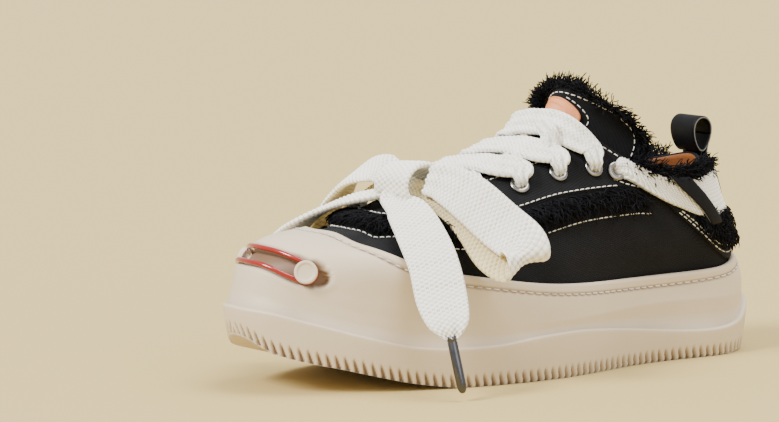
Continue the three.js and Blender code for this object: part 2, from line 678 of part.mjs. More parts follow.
function placeWhereHeel(halfWidth) {
  let low = 0.85;
  let high = 1;
  for (let k = 0; k < 40; k += 1) {
    const middle = 0.5 * (low + high);
    if (upperPoint(middle, TOP_LEVEL).x > halfWidth) low = middle;
    else high = middle;
  }
  return low;
}
addMesh("collar_fringe_lateral", collarFringe(1), YARN);
addMesh("collar_fringe_medial", collarFringe(-1), YARN);

// Heel fringe: round the back, between the rubber and the lace that circles the heel.
const HEEL_FRINGE_START = 0.87;
const heelLine = (place) => upperPoint(place, 2);
const heelPlaces = columnsAlong(HEEL_FRINGE_START, 2 - HEEL_FRINGE_START, FRINGE_LOCK, heelLine);
const HEEL_FRINGE_LEVEL = 2.12;
const heelRoots = heelPlaces.map((place) => {
  const level = HEEL_FRINGE_LEVEL;
  const out = upperNormal(place, level);
  const hang = upperPoint(place, level - 0.5).sub(upperPoint(place, level)).normalize();
  return { at: offsetPoint(place, level, HEEL_PATCH_GAP + HEEL_PATCH_THICKNESS + SEAM_GAP), hang, out };
});
addMesh("heel_fringe", fringe(heelRoots, 1.3 * FRINGE_LENGTH, FRINGE_THICKNESS), YARN);

// Tongue fringe: round the free edge of the tongue.
const tongueEdge = [
  ...[0.8, 0.84, 0.88, 0.92, 0.96].map((along) => [along, -1]),
  ...shares(15).map((share) => [1, 2 * share - 1]),
  ...[0.96, 0.92, 0.88, 0.84, 0.8].map((along) => [along, 1]),
];
const tongueRoots = tongueEdge.map(([along, across]) => {
  const out = tongueNormal(along, across);
  const side = tonguePoint(along, 1).sub(tonguePoint(along, -1)).normalize();
  const ahead = tonguePoint(1, across).sub(tonguePoint(0.96, across)).normalize();
  const corner = along < 1 ? 1 : Math.abs(across) ** 4;
  const outward = side.multiplyScalar(Math.sign(across) * corner);
  const hang = outward.addScaledVector(ahead, 1 - 0.8 * corner).normalize();
  return { at: tongueOffset(along, across, 4 * SEAM_GAP).addScaledVector(hang, 0.7), hang, out };
});
addMesh("tongue_fringe", fringe(tongueRoots, FRINGE_LENGTH, FRINGE_THICKNESS), YARN);

// Toe hardware: two buttons on posts in the slot, and a closed band looped round both posts.
const BAND_DEPTH = -0.4;
const buttonUnderside = BAND_DEPTH + 0.5 * TOE_BAND_DIAMETER + 3 * SEAM_GAP;

function button() {
  const post = 0.5 * POST_DIAMETER;
  const head = 0.5 * BUTTON_DIAMETER;
  const foot = SEAM_GAP - SLOT_DEPTH;
  const face = buttonUnderside + BUTTON_THICKNESS;
  const profile = [
    [0, foot], [post, foot], [post, buttonUnderside], [head, buttonUnderside],
    [head, face - 0.5], [head - 1, face], [head - 2, face - 0.7], [0, face - 0.7],
  ];
  return bareGeometry(new THREE.LatheGeometry(profile.map(([x, y]) => new THREE.Vector2(x, y)), 12));
}

[["medial", -1], ["lateral", 1]].forEach(([name, side]) => {
  const { origin, out } = wallFrame(side * buttonPlace, SLOT_LEVEL);
  addMesh(`toe_button_${name}`, turnedTo(button(), out, origin), RUBBER);
});

// A tube of round sections on a route whose spots give a centre and the way out of the surface.
function tube(route, diameter, sides, closed) {
  const rows = route.map(({ at, out }, k) => {
    const before = route[closed ? (k + route.length - 1) % route.length : Math.max(k - 1, 0)].at;
    const after = route[closed ? (k + 1) % route.length : Math.min(k + 1, route.length - 1)].at;
    const ahead = after.clone().sub(before).normalize();
    const side = ahead.clone().cross(out).normalize();
    const top = side.clone().cross(ahead).normalize();
    return Array.from({ length: sides }, (unused, j) => {
      const angle = (2 * Math.PI * j) / sides;
      const reach = 0.5 * diameter;
      const raised = at.clone().addScaledVector(top, reach * Math.cos(angle));
      return raised.addScaledVector(side, reach * Math.sin(angle));
    });
  });
  return solidOfGrid(rows, closed);
}

function toeBand() {
  const reach = 0.5 * POST_DIAMETER + 2 * SEAM_GAP + 0.5 * TOE_BAND_DIAMETER;
  const spot = (place, turn) => {
    const { origin, up, along, out } = wallFrame(place, SLOT_LEVEL);
    const at = origin.clone().addScaledVector(out, BAND_DEPTH);
    at.addScaledVector(along, reach * Math.sin(turn)).addScaledVector(up, reach * Math.cos(turn));
    return { at, out };
  };
  const strand = shares(7).map((share) => THREE.MathUtils.lerp(-buttonPlace, buttonPlace, share));
  const upper = strand.map((place) => spot(place, 0));
  const lower = strand.map((place) => spot(place, Math.PI)).reverse();
  const turns = [0.2, 0.4, 0.6, 0.8].map((share) => share * Math.PI);
  const right = turns.map((turn) => spot(buttonPlace, turn));
  const left = turns.map((turn) => spot(-buttonPlace, Math.PI + turn));
  return tube([...upper, ...right, ...lower, ...left], TOE_BAND_DIAMETER, 6, true);
}
addMesh("toe_band", toeBand(), RED);

// Pull loop: a strap folded to an upright eye on the heel's edge, with its tail down the outside.
function pullLoop() {
  const rim = upperPoint(1, TOP_LEVEL);
  const outline = (inset) => {
    const half = new THREE.Vector2(0.27 * PULL_HEIGHT - inset, 0.42 * PULL_HEIGHT - inset);
    const middle = new THREE.Vector2(rim.y - 1, rim.z + 0.42 * PULL_HEIGHT + 2 * SEAM_GAP);
    return Array.from({ length: 18 }, (unused, k) => {
      const angle = (2 * Math.PI * k) / 18;
      const taper = 1 + 0.25 * Math.sin(angle);
      const reach = half.x * taper;
      return new THREE.Vector2(middle.x + reach * Math.cos(angle), middle.y + half.y * Math.sin(angle));
    });
  };
  const shape = new THREE.Shape(outline(0));
  shape.holes.push(new THREE.Path(outline(STRAP_THICKNESS)));
  const eye = new THREE.ExtrudeGeometry(shape, { depth: PULL_WIDTH, bevelEnabled: false });
  const basis = new THREE.Matrix4().makeBasis(vec(0, 1, 0), vec(0, 0, 1), vec(1, 0, 0));
  eye.applyMatrix4(basis).translate(-0.5 * PULL_WIDTH, 0, 0);
  const gap = 1.5 * SEAM_GAP;
  const tail = [
    [vec(0, rim.y + 2.4, rim.z + 5), vec(0, rim.y + 2.4 + STRAP_THICKNESS, rim.z + 5)],
    ...[5, 4.8, 4.6].map((level) => [gap, gap + STRAP_THICKNESS].map((off) => offsetPoint(1, level, off))),
  ];
  const half = 0.5 * PULL_WIDTH;
  const rows = tail.map(([inner, outer]) => [
    vec(-half, inner.y, inner.z), vec(half, inner.y, inner.z),
    vec(half, outer.y, outer.z), vec(-half, outer.y, outer.z),
  ]);
  return join(bareGeometry(eye), solidOfGrid(rows, false));
}
addMesh("pull_loop", pullLoop(), STRAP);

// Lace band: from the side eyelets round the heel, held by three keepers.
const BAND_OFFSET = HEEL_PATCH_GAP + HEEL_PATCH_THICKNESS + 1.5 * SEAM_GAP;
const BAND_MIDDLE = [[0.76, 3.97], [0.8, 3.68], [0.86, 3.32], [0.93, 3.45], [1, 3.45]];
const BAND_SPREAD = [[0.76, 0.42], [0.8, 0.8], [0.86, 1], [1, 1]];
const MM_PER_LEVEL = 12.4;

function bandEdges(place) {
  const along = place > 1 ? 2 - place : place;
  const half = (0.5 * BAND_WIDTH * smooth(BAND_SPREAD, along)) / MM_PER_LEVEL;
  const middle = smooth(BAND_MIDDLE, along);
  return [place, middle - half, middle + half];
}

const bandRows = shares(17).map((share) => bandEdges(THREE.MathUtils.lerp(0.765, 1.235, share)));
addMesh("lace_heel_band", blockOn(offsetPoint, bandRows, 3, LACE_THICKNESS, BAND_OFFSET), LACE);

function keeper(place) {
  const over = BAND_OFFSET + LACE_THICKNESS + 2 * SEAM_GAP;
  const length = upperPoint(place + 0.01, 3.3).distanceTo(upperPoint(place - 0.01, 3.3));
  const reach = (0.5 * KEEPER_WIDTH * 0.02) / length;
  const side = (spot) => {
    const [, low, high] = bandEdges(spot);
    const path = [
      [low - 0.22, BAND_OFFSET], [low - 0.13, over + 0.4], [0.5 * (low + high), over + 0.8],
      [high + 0.13, over + 0.4], [high + 0.22, BAND_OFFSET], [high + 0.34, BAND_OFFSET],
    ];
    return path.map(([level, offset]) => [
      offsetPoint(spot, level, offset),
      offsetPoint(spot, level, offset + STRAP_THICKNESS),
    ]);
  };
  const front = side(place - reach);
  const rear = side(place + reach);
  const rows = front.map(([inner, outer], k) => [inner, rear[k][0], rear[k][1], outer]);
  return solidOfGrid(rows, false);
}
const LATERAL_KEEPER_PLACE = 0.86;
addMesh("keeper_lateral", keeper(LATERAL_KEEPER_PLACE), STRAP);
addMesh("keeper_medial", keeper(2 - LATERAL_KEEPER_PLACE), STRAP);
addMesh("keeper_back", keeper(1), STRAP);

// A flat strip with rounded edges. Each row gives a centre, the way across it and its width.
function strip(rows, thickness) {
  const sections = rows.map(({ at, across, width }, k) => {
    const before = rows[Math.max(k - 1, 0)].at;
    const after = rows[Math.min(k + 1, rows.length - 1)].at;
    const ahead = after.clone().sub(before).normalize();
    const flat = across.clone().addScaledVector(ahead, -across.dot(ahead)).normalize();
    const face = ahead.clone().cross(flat).normalize();
    const half = 0.5 * width;
    const edge = Math.max(half - 0.8 * thickness, 0.3 * width);
    const shifted = (side) => at.clone().addScaledVector(flat, side);
    const corner = (side, off) => shifted(side).addScaledVector(face, off * thickness);
    return [
      corner(-half, -0.2), corner(-edge, -0.5), corner(edge, -0.5), corner(half, -0.2),
      corner(half, 0.2), corner(edge, 0.5), corner(-edge, 0.5), corner(-half, 0.2),
    ];
  });
  return solidOfGrid(sections, false);
}

// Rows of a strip from a short list of [x, y, z, across x, across y, across z, width].
function stripRows(list, count) {
  const centre = new THREE.CatmullRomCurve3(list.map(([x, y, z]) => vec(x, y, z)), false, "catmullrom", 0.5);
  const table = (column) => list.map((row, k) => [k / (list.length - 1), row[column]]);
  return shares(count).map((share) => ({
    at: centre.getPoint(share),
    across: vec(smooth(table(3), share), smooth(table(4), share), smooth(table(5), share)).normalize(),
    width: smooth(table(6), share),
  }));
}

// Lace crossings over the tongue, joined where they cross and where two share an eyelet.
const OVER_LIFT = 6;
const UNDER_LIFT = 4;
const CROSSING_THICKNESS = 0.85 * LACE_THICKNESS;
const GATHERED_SHARE = 0.55;
const EYELET_CLEARANCE = SEAM_GAP + EYELET_RISE + 4 * SEAM_GAP + 0.5 * LACE_THICKNESS;

function tongueAlongAt(y) {
  let low = 0;
  let high = 1;
  for (let k = 0; k < 30; k += 1) {
    const middle = 0.5 * (low + high);
    if (tonguePoint(middle, 0).y < y) low = middle;
    else high = middle;
  }
  return low;
}

// A plain flat strip: a rectangle carried along a row of spots.
function flatStrip(rows, thickness) {
  const sections = rows.map(({ at, across, width }, k) => {
    const before = rows[Math.max(k - 1, 0)].at;
    const after = rows[Math.min(k + 1, rows.length - 1)].at;
    const ahead = after.clone().sub(before).normalize();
    const flat = across.clone().addScaledVector(ahead, -across.dot(ahead)).normalize();
    const face = ahead.clone().cross(flat).normalize();
    const corner = (side, off) =>
      at.clone().addScaledVector(flat, side * width).addScaledVector(face, off * thickness);
    return [corner(-0.5, -0.5), corner(0.5, -0.5), corner(0.5, 0.5), corner(-0.5, 0.5)];
  });
  return solidOfGrid(sections, false);
}

function towardsHeel(place) {
  const step = 0.01 * Math.sign(place);
  return upperPoint(place + step, EYELET_LEVEL).sub(upperPoint(place - step, EYELET_LEVEL)).normalize();
}

function crossing(fromPlace, toPlace, lift) {
  const from = raisedPoint(fromPlace, EYELET_LEVEL, EYELET_CLEARANCE);
  const to = raisedPoint(toPlace, EYELET_LEVEL, EYELET_CLEARANCE);
  const ridge = tongueAlongAt(0.5 * (from.y + to.y));
  const rise = tongueOffset(ridge, 0, lift).sub(from.clone().lerp(to, 0.5));
  const slope = tonguePoint(ridge + 0.04, 0).sub(tonguePoint(ridge - 0.04, 0)).normalize();
  const rows = shares(9).map((share) => {
    const spread = Math.abs(2 * share - 1);
    const at = from.clone().lerp(to, share).addScaledVector(rise, 1 - spread ** 3);
    const across = slope.clone().lerp(towardsHeel(share < 0.5 ? fromPlace : toPlace), spread ** 2);
    return { at, across, width: THREE.MathUtils.lerp(1, GATHERED_SHARE, spread ** 3) * CROSSING_WIDTH };
  });
  return flatStrip(rows, CROSSING_THICKNESS);
}

// The bow's knot lies in front of the first pair of eyelets, a little to the outer side.
const KNOT_SIDE = 8;
const KNOT_REACH = 27.4;
const KNOT_LIFT = 8.05;
const KNOT_HALF = vec(13, 9, 7.5);
const STUB_SPREAD = 8;
const STUB_REACH = 16.4;
const STUB_LIFT = 7.55;
const STUB_ARCH = 3.5;
const frontEyelets = raisedPoint(EYELET_PLACES[0], EYELET_LEVEL, 0)
  .add(raisedPoint(-EYELET_PLACES[0], EYELET_LEVEL, 0))
  .multiplyScalar(0.5);
const knotCentre = frontEyelets.clone().add(vec(KNOT_SIDE, -KNOT_REACH, KNOT_LIFT));

function frontStub(place) {
  const from = raisedPoint(place, EYELET_LEVEL, EYELET_CLEARANCE);
  const side = KNOT_SIDE + Math.sign(place) * STUB_SPREAD;
  const target = frontEyelets.clone().add(vec(side, -STUB_REACH, STUB_LIFT));
  const rows = shares(4).map((share) => {
    const at = from.clone().lerp(target, share);
    at.z += STUB_ARCH * Math.sin(Math.PI * share);
    const width = THREE.MathUtils.lerp(GATHERED_SHARE, 1, share) * CROSSING_WIDTH;
    return { at, across: towardsHeel(place), width };
  });
  return flatStrip(rows, CROSSING_THICKNESS);
}

const crossings = EYELET_PLACES.slice(1).flatMap((place, k) => [
  crossing(-EYELET_PLACES[k], place, OVER_LIFT),
  crossing(EYELET_PLACES[k], -place, UNDER_LIFT),
]);
const stubs = [frontStub(EYELET_PLACES[0]), frontStub(-EYELET_PLACES[0])];
addMesh("lace_crossings", join(crossings[0], ...crossings.slice(1), ...stubs), LACE);

// Knot, bow loops and hanging ends, with their metal tips.
function knot() {
  const ball = bareGeometry(new THREE.SphereGeometry(1, 10, 7));
  return ball.scale(...KNOT_HALF.toArray()).translate(...knotCentre.toArray());
}
addMesh("lace_knot", knot(), LACE);

const LATERAL_LOOP = [
  [22.5, -53, 97, 0.45, 0.6, 0.66, 15],
  [31, -49, 95.5, 0.4, 0.65, 0.65, 19],
  [44, -43.8, 90, 0.35, 0.68, 0.65, 23],
  [60, -36.5, 77.5, 0.2, 0.8, 0.55, LACE_WIDTH],
  [71.5, -32.5, 69.5, 0.02, 0.94, 0.32, LACE_WIDTH],
  [75.5, -32.8, 62.5, -0.06, 0.96, 0.25, LACE_WIDTH],
  [71, -34.4, 56.5, -0.06, 0.94, 0.32, LACE_WIDTH],
  [60, -38, 62.5, 0.1, 0.84, 0.52, LACE_WIDTH],
  [48, -41.6, 76, 0.3, 0.74, 0.6, 21],
  [35, -46.4, 85.6, 0.45, 0.65, 0.55, 15],
  [23, -51.3, 90, 0.45, 0.6, 0.6, 12],
];
const MEDIAL_LOOP = [
  [-7, -55.5, 95.5, 0, 0.8, 0.6, 15],
  [-15, -57, 97, 0, 0.84, 0.55, 20],
  [-28, -60.5, 93, -0.1, 0.85, 0.5, LACE_WIDTH],
  [-40, -63, 84, -0.15, 0.87, 0.45, LACE_WIDTH],
  [-49, -64, 74.5, -0.13, 0.95, 0.28, LACE_WIDTH],
  [-53, -63.5, 67.5, -0.12, 0.98, 0.16, LACE_WIDTH],
  [-48.5, -62.5, 63.8, -0.12, 0.98, 0.16, LACE_WIDTH],
  [-42.5, -61, 71.5, -0.13, 0.96, 0.24, LACE_WIDTH],
  [-33, -58.5, 83.5, -0.1, 0.91, 0.35, 22],
  [-18, -56, 91.5, 0, 0.84, 0.55, 18],
  [-7, -54.5, 91, 0, 0.8, 0.6, 13],
];
const LATERAL_END = [
  [14, -67.5, 88, 0.31, 0.93, 0.19, 12],
  [27, -67, 83, 0.31, 0.93, 0.19, 21],
  [44, -69, 71.5, 0.31, 0.93, 0.19, LACE_WIDTH],
  [57, -71, 60, 0.4, 0.9, 0.17, LACE_WIDTH],
  [68, -73.7, 45.7, 0.44, 0.88, 0.15, LACE_WIDTH],
  [76.8, -75.4, 35.5, 0.44, 0.88, 0.15, 19],
  [78.6, -75, 28.6, 0.44, 0.88, 0.15, 7],
];
const MEDIAL_END = [
  [-0.6, -66.4, 88.7, -0.2, 0.9, 0.2, 12],
  [-16, -75, 84.7, -0.3, 0.9, 0.19, 21],
  [-31, -84.6, 77, -0.25, 0.93, 0.19, LACE_WIDTH],
  [-45, -88, 68.6, -0.15, 0.97, 0.17, LACE_WIDTH],
  [-54, -89.5, 57.5, -0.12, 0.98, 0.1, LACE_WIDTH],
  [-59, -90, 48, -0.12, 0.98, 0.1, 19],
  [-60.5, -90, 41.5, -0.12, 0.98, 0.1, 7],
];
addMesh("lace_loop_lateral", strip(stripRows(LATERAL_LOOP, 17), LACE_THICKNESS), LACE);
addMesh("lace_loop_medial", strip(stripRows(MEDIAL_LOOP, 17), LACE_THICKNESS), LACE);
addMesh("lace_end_lateral", strip(stripRows(LATERAL_END, 9), LACE_THICKNESS), LACE);
addMesh("lace_end_medial", strip(stripRows(MEDIAL_END, 9), LACE_THICKNESS), LACE);

function aglet(end, lean) {
  const [x, y, z] = end;
  const down = lean.clone().normalize();
  const top = vec(x, y, z).addScaledVector(down, 2 * SEAM_GAP);
  const middle = top.clone().addScaledVector(down, 0.5 * AGLET_LENGTH);
  const radius = 0.5 * AGLET_DIAMETER;
  return turnedTo(new THREE.CylinderGeometry(radius, radius, AGLET_LENGTH, 10), down, middle);
}
addMesh("aglet_lateral", aglet(LATERAL_END.at(-1), vec(5, 3.4, -26)), METAL);
addMesh("aglet_medial", aglet(MEDIAL_END.at(-1), vec(-5, 2, -26)), METAL);

export default shoe;
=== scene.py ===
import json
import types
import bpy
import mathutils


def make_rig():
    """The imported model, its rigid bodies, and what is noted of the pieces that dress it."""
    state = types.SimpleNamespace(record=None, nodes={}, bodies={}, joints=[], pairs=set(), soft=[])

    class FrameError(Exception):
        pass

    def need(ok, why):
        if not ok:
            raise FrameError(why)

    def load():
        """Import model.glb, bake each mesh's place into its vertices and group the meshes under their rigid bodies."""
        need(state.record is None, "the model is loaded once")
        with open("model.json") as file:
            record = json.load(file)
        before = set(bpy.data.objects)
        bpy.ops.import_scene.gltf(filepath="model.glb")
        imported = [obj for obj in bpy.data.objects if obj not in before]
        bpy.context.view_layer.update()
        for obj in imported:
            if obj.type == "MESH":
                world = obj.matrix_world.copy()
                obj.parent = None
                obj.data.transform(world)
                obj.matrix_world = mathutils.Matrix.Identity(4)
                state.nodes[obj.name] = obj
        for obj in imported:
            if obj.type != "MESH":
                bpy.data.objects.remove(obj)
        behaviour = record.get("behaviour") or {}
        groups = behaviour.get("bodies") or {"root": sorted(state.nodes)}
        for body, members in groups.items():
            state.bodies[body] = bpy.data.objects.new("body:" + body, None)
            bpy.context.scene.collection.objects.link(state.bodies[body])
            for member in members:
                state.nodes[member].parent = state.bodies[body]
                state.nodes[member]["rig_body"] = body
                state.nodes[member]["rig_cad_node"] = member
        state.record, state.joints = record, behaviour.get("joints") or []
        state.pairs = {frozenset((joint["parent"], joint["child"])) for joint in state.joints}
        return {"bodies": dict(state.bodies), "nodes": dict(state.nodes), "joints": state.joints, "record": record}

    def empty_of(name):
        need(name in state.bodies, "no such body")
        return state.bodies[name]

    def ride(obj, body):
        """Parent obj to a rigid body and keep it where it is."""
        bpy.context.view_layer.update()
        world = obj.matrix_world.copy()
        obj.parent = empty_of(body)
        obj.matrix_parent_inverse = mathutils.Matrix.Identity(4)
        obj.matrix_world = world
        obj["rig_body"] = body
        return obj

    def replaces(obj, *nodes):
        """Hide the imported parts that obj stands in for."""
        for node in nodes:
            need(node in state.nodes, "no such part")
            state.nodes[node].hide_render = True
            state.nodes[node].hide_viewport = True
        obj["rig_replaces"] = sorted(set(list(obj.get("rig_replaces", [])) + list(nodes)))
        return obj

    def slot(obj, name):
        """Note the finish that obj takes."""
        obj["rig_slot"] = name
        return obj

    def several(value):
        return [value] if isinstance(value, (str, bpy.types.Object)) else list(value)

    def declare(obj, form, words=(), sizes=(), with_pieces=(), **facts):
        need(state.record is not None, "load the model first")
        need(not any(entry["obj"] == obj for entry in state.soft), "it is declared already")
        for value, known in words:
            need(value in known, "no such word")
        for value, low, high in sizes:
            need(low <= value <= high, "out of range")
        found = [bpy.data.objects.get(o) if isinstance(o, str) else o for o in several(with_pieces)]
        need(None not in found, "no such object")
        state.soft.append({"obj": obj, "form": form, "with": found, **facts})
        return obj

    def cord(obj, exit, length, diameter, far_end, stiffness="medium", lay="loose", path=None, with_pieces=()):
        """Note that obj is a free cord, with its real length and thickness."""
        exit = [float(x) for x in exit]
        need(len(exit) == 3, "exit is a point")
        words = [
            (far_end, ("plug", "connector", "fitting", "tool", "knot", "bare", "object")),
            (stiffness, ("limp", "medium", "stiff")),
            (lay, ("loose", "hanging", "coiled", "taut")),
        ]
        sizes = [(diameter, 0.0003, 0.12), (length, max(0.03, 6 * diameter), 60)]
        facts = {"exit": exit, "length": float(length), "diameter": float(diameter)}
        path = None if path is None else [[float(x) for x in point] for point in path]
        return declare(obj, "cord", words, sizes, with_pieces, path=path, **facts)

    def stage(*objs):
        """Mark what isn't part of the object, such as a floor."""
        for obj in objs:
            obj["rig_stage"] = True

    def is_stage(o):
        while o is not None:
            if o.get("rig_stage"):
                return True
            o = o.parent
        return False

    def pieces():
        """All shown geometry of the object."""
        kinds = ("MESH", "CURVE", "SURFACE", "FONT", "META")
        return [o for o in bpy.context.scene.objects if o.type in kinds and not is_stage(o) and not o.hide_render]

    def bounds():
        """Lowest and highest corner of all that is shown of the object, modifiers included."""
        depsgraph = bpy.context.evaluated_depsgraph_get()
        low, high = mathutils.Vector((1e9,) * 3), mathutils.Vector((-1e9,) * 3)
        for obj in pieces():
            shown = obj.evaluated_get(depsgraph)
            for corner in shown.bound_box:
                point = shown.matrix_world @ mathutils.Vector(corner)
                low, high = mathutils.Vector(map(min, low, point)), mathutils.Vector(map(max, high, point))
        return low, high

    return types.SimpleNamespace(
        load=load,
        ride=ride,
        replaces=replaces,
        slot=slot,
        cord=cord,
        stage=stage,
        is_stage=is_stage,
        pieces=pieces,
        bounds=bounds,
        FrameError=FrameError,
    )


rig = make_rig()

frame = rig.load()
cad_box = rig.bounds()

import json
import math

import bpy
import numpy as np
from mathutils import Matrix, Vector

# Nothing is picked at the start, so each piece is worked on by itself.
for node_object in bpy.data.objects:
    node_object.select_set(False)

# The studio: a camera low at the toe's outer quarter, a plain pale floor that runs on past the view,
# and broad soft lights. The camera aims at a point that lies in the middle of the picture.
CAMERA_AZIMUTH = math.radians(58.5)
CAMERA_ELEVATION = math.radians(6.2)
CAMERA_DISTANCE = 1.57
CAMERA_TARGET = Vector((0.0591, -0.0967, 0.0876))
CAMERA_LENS = 157.6
FLOOR_COLOUR = (0.52, 0.395, 0.155, 1.0)
FLOOR_SIZE = 30.0
LIGHT_TARGET = Vector((0, 0, 0.05))
WORLD_COLOUR = (1.0, 0.97, 0.92, 1.0)
WORLD_STRENGTH = 1.05

camera_data = bpy.data.cameras.new("camera")
camera_data.lens = CAMERA_LENS
camera_data.sensor_width = 36.0
camera_data.sensor_fit = "HORIZONTAL"
camera = bpy.data.objects.new("camera", camera_data)
bpy.context.collection.objects.link(camera)
towards_camera = Vector((
    math.sin(CAMERA_AZIMUTH) * math.cos(CAMERA_ELEVATION),
    -math.cos(CAMERA_AZIMUTH) * math.cos(CAMERA_ELEVATION),
    math.sin(CAMERA_ELEVATION),
))
camera.location = CAMERA_TARGET + towards_camera * CAMERA_DISTANCE
camera.rotation_mode = "QUATERNION"
camera.rotation_quaternion = (-towards_camera).to_track_quat("-Z", "Y")
bpy.context.scene.camera = camera

bpy.ops.mesh.primitive_plane_add(size=FLOOR_SIZE)
floor = bpy.context.object
floor.name = "floor"
floor_look = bpy.data.materials.new("floor_paper")
floor_look.use_nodes = True
floor_shader = floor_look.node_tree.nodes["Principled BSDF"]
floor_shader.inputs["Base Color"].default_value = FLOOR_COLOUR
floor_shader.inputs["Roughness"].default_value = 0.9
floor.data.materials.append(floor_look)
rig.stage(floor)


def soft_light(name, place, width, strength, colour):
    """A broad far light: its direction is from its place to the shoe, and its width is in degrees."""
    data = bpy.data.lights.new(name, "SUN")
    data.angle = math.radians(width)
    data.energy = strength
    data.color = colour
    light = bpy.data.objects.new(name, data)
    light.location = place
    light.rotation_mode = "QUATERNION"
    light.rotation_quaternion = (LIGHT_TARGET - light.location).to_track_quat("-Z", "Y")
    bpy.context.collection.objects.link(light)


soft_light("key_light", Vector((0.2, -1.9, 1.7)), 20.0, 4.9, (1.0, 0.99, 0.97))
soft_light("fill_light", Vector((2.2, 0.2, 1.2)), 45.0, 0.9, (0.97, 0.98, 1.0))
soft_light("top_light", Vector((0.3, 0.6, 2.2)), 36.0, 2.9, (1.0, 1.0, 1.0))
world = bpy.data.worlds.new("studio")
world.use_nodes = True
world.node_tree.nodes["Background"].inputs["Color"].default_value = WORLD_COLOUR
world.node_tree.nodes["Background"].inputs["Strength"].default_value = WORLD_STRENGTH
bpy.context.scene.world = world


# Flat laces: a wide soft tape of braided cotton, about 24 mm across and 2.6 mm thick, with small
# slanted plaits over it and a firm edge. Each loop of the bow and its hanging end are one length of
# tape, and one more turn of it wraps the knot.
LACE_WIDTH = 0.024
LACE_THICKNESS = 0.0026
LACE_PLAITS = 5.5
LACE_PLAIT_LENGTH = 0.0023
LACE_RELIEF = 0.0010
LACE_STEP = 0.00055
LACE_FOLD = 0.0012
# How much of each bow tape is loop: its inner face there gets the painted warm shade.
LOOP_SHARE = 0.62
PLAIT_MIDDLE = 0.4
EDGE_POWER = 7
EDGE_RIM = 0.16


def smooth(table, place):
    """A smooth value of a table of (place, value) rows, at one place or at an array of them."""
    rows = np.asarray(table, float)
    spots, values = rows[:, 0], rows[:, 1]
    place = np.clip(np.asarray(place, float), spots[0], spots[-1])
    row = np.clip(np.searchsorted(spots, place, side="left") - 1, 0, len(spots) - 2)
    low = np.maximum(np.arange(len(spots)) - 1, 0)
    high = np.minimum(np.arange(len(spots)) + 1, len(spots) - 1)
    slope = (values[high] - values[low]) / (spots[high] - spots[low])
    span = spots[row + 1] - spots[row]
    s = (place - spots[row]) / span
    return (
        (2 * s**3 - 3 * s**2 + 1) * values[row]
        + (s**3 - 2 * s**2 + s) * span * slope[row]
        + (-2 * s**3 + 3 * s**2) * values[row + 1]
        + (s**3 - s**2) * span * slope[row + 1]
    )


def unit(vectors):
    return vectors / np.maximum(np.linalg.norm(vectors, axis=-1, keepdims=True), 1e-12)


def hump(value, middle, reach):
    """A soft hump: 1 at its middle, and next to nothing two reaches away from it."""
    return np.exp(-(((value - middle) / reach) ** 2))


def eased(share):
    """A share from 0 to 1 that starts and ends softly."""
    return share * share * (3 - 2 * share)


def spline(a, b, c, d, s):
    """Spots on the smooth curve from b to c, with a before them and d after, at shares s of the way."""
    start, end = 0.5 * (c - a), 0.5 * (d - b)
    return b + start * s + (-3 * b + 3 * c - 2 * start - end) * s**2 + (2 * b - 2 * c + start + end) * s**3


def distance_along(points):
    """How far each point of a line lies from its first one, walked along the line."""
    return np.concatenate([[0], np.cumsum(np.linalg.norm(np.diff(points, axis=0), axis=1))])


def along_curve(points, shares):
    """Spots on the smooth curve through the points, at shares of the way from first to last."""
    points = np.asarray(points, float)
    ends = np.vstack([2 * points[0] - points[1], points, 2 * points[-1] - points[-2]])
    spot = np.clip(np.asarray(shares, float), 0, 1) * (len(points) - 1)
    first = np.minimum(spot.astype(int), len(points) - 2)
    return spline(*(ends[first + k] for k in range(4)), (spot - first)[:, None])


def evenly(points, step):
    """Shares of the curve through the points that lie about one step apart, and the curve's length."""
    fine = np.linspace(0, 1, 400)
    walked = distance_along(along_curve(points, fine))
    count = max(int(round(walked[-1] / step)), 4)
    return np.interp(np.linspace(0, walked[-1], count + 1), walked, fine), walked[-1]


def new_piece(name, vertices, faces, look, uv=None):
    """A smooth mesh object at the origin. uv holds one pair for each vertex of each face."""
    mesh = bpy.data.meshes.new(name)
    corners = [tuple(map(int, face)) for face in faces]
    mesh.from_pydata([tuple(v) for v in np.asarray(vertices, float)], [], corners)
    if uv is not None:
        layer = mesh.uv_layers.new(name="cloth")
        layer.data.foreach_set("uv", np.asarray(uv, np.float32).ravel())
    mesh.polygons.foreach_set("use_smooth", [True] * len(mesh.polygons))
    mesh.update()
    piece = bpy.data.objects.new(name, mesh)
    bpy.context.collection.objects.link(piece)
    for each in look if isinstance(look, list) else [look]:
        mesh.materials.append(each)
    return piece


def mark_points(piece, name, values):
    """Stores one value for each vertex of a piece, for its look to read."""
    mark = piece.data.attributes.new(name, "FLOAT", "POINT")
    mark.data.foreach_set("value", np.asarray(values).astype(np.float32).ravel())


def grid_cells(rows, columns, closed_rows, closed_columns):
    """The row and column numbers of a grid's cells. A grid can close on itself either way."""
    i = np.arange(rows if closed_rows else rows - 1)
    j = np.arange(columns if closed_columns else columns - 1)
    return (numbers.ravel() for numbers in np.meshgrid(i, j, indexing="ij"))


def grid_faces(rows, columns, closed_rows=False, closed_columns=False):
    """Quads of a grid of rows by columns, as an array of corner numbers."""
    i, j = grid_cells(rows, columns, closed_rows, closed_columns)
    here, after = i * columns, (i + 1) % rows * columns
    beside = (j + 1) % columns
    return np.stack([here + j, here + beside, after + beside, after + j], axis=1)


def grid_uv(rows, columns, u_of_row, v_of_column, closed_rows=False, closed_columns=False):
    """UV pairs for grid_faces. Closed directions take one value more than they have rows or columns."""
    i, j = grid_cells(rows, columns, closed_rows, closed_columns)
    corners = ((i, j), (i, j + 1), (i + 1, j + 1), (i + 1, j))
    pairs = [np.stack([u_of_row[a], v_of_column[b]], axis=1) for a, b in corners]
    return np.stack(pairs, axis=1).reshape(-1, 2)


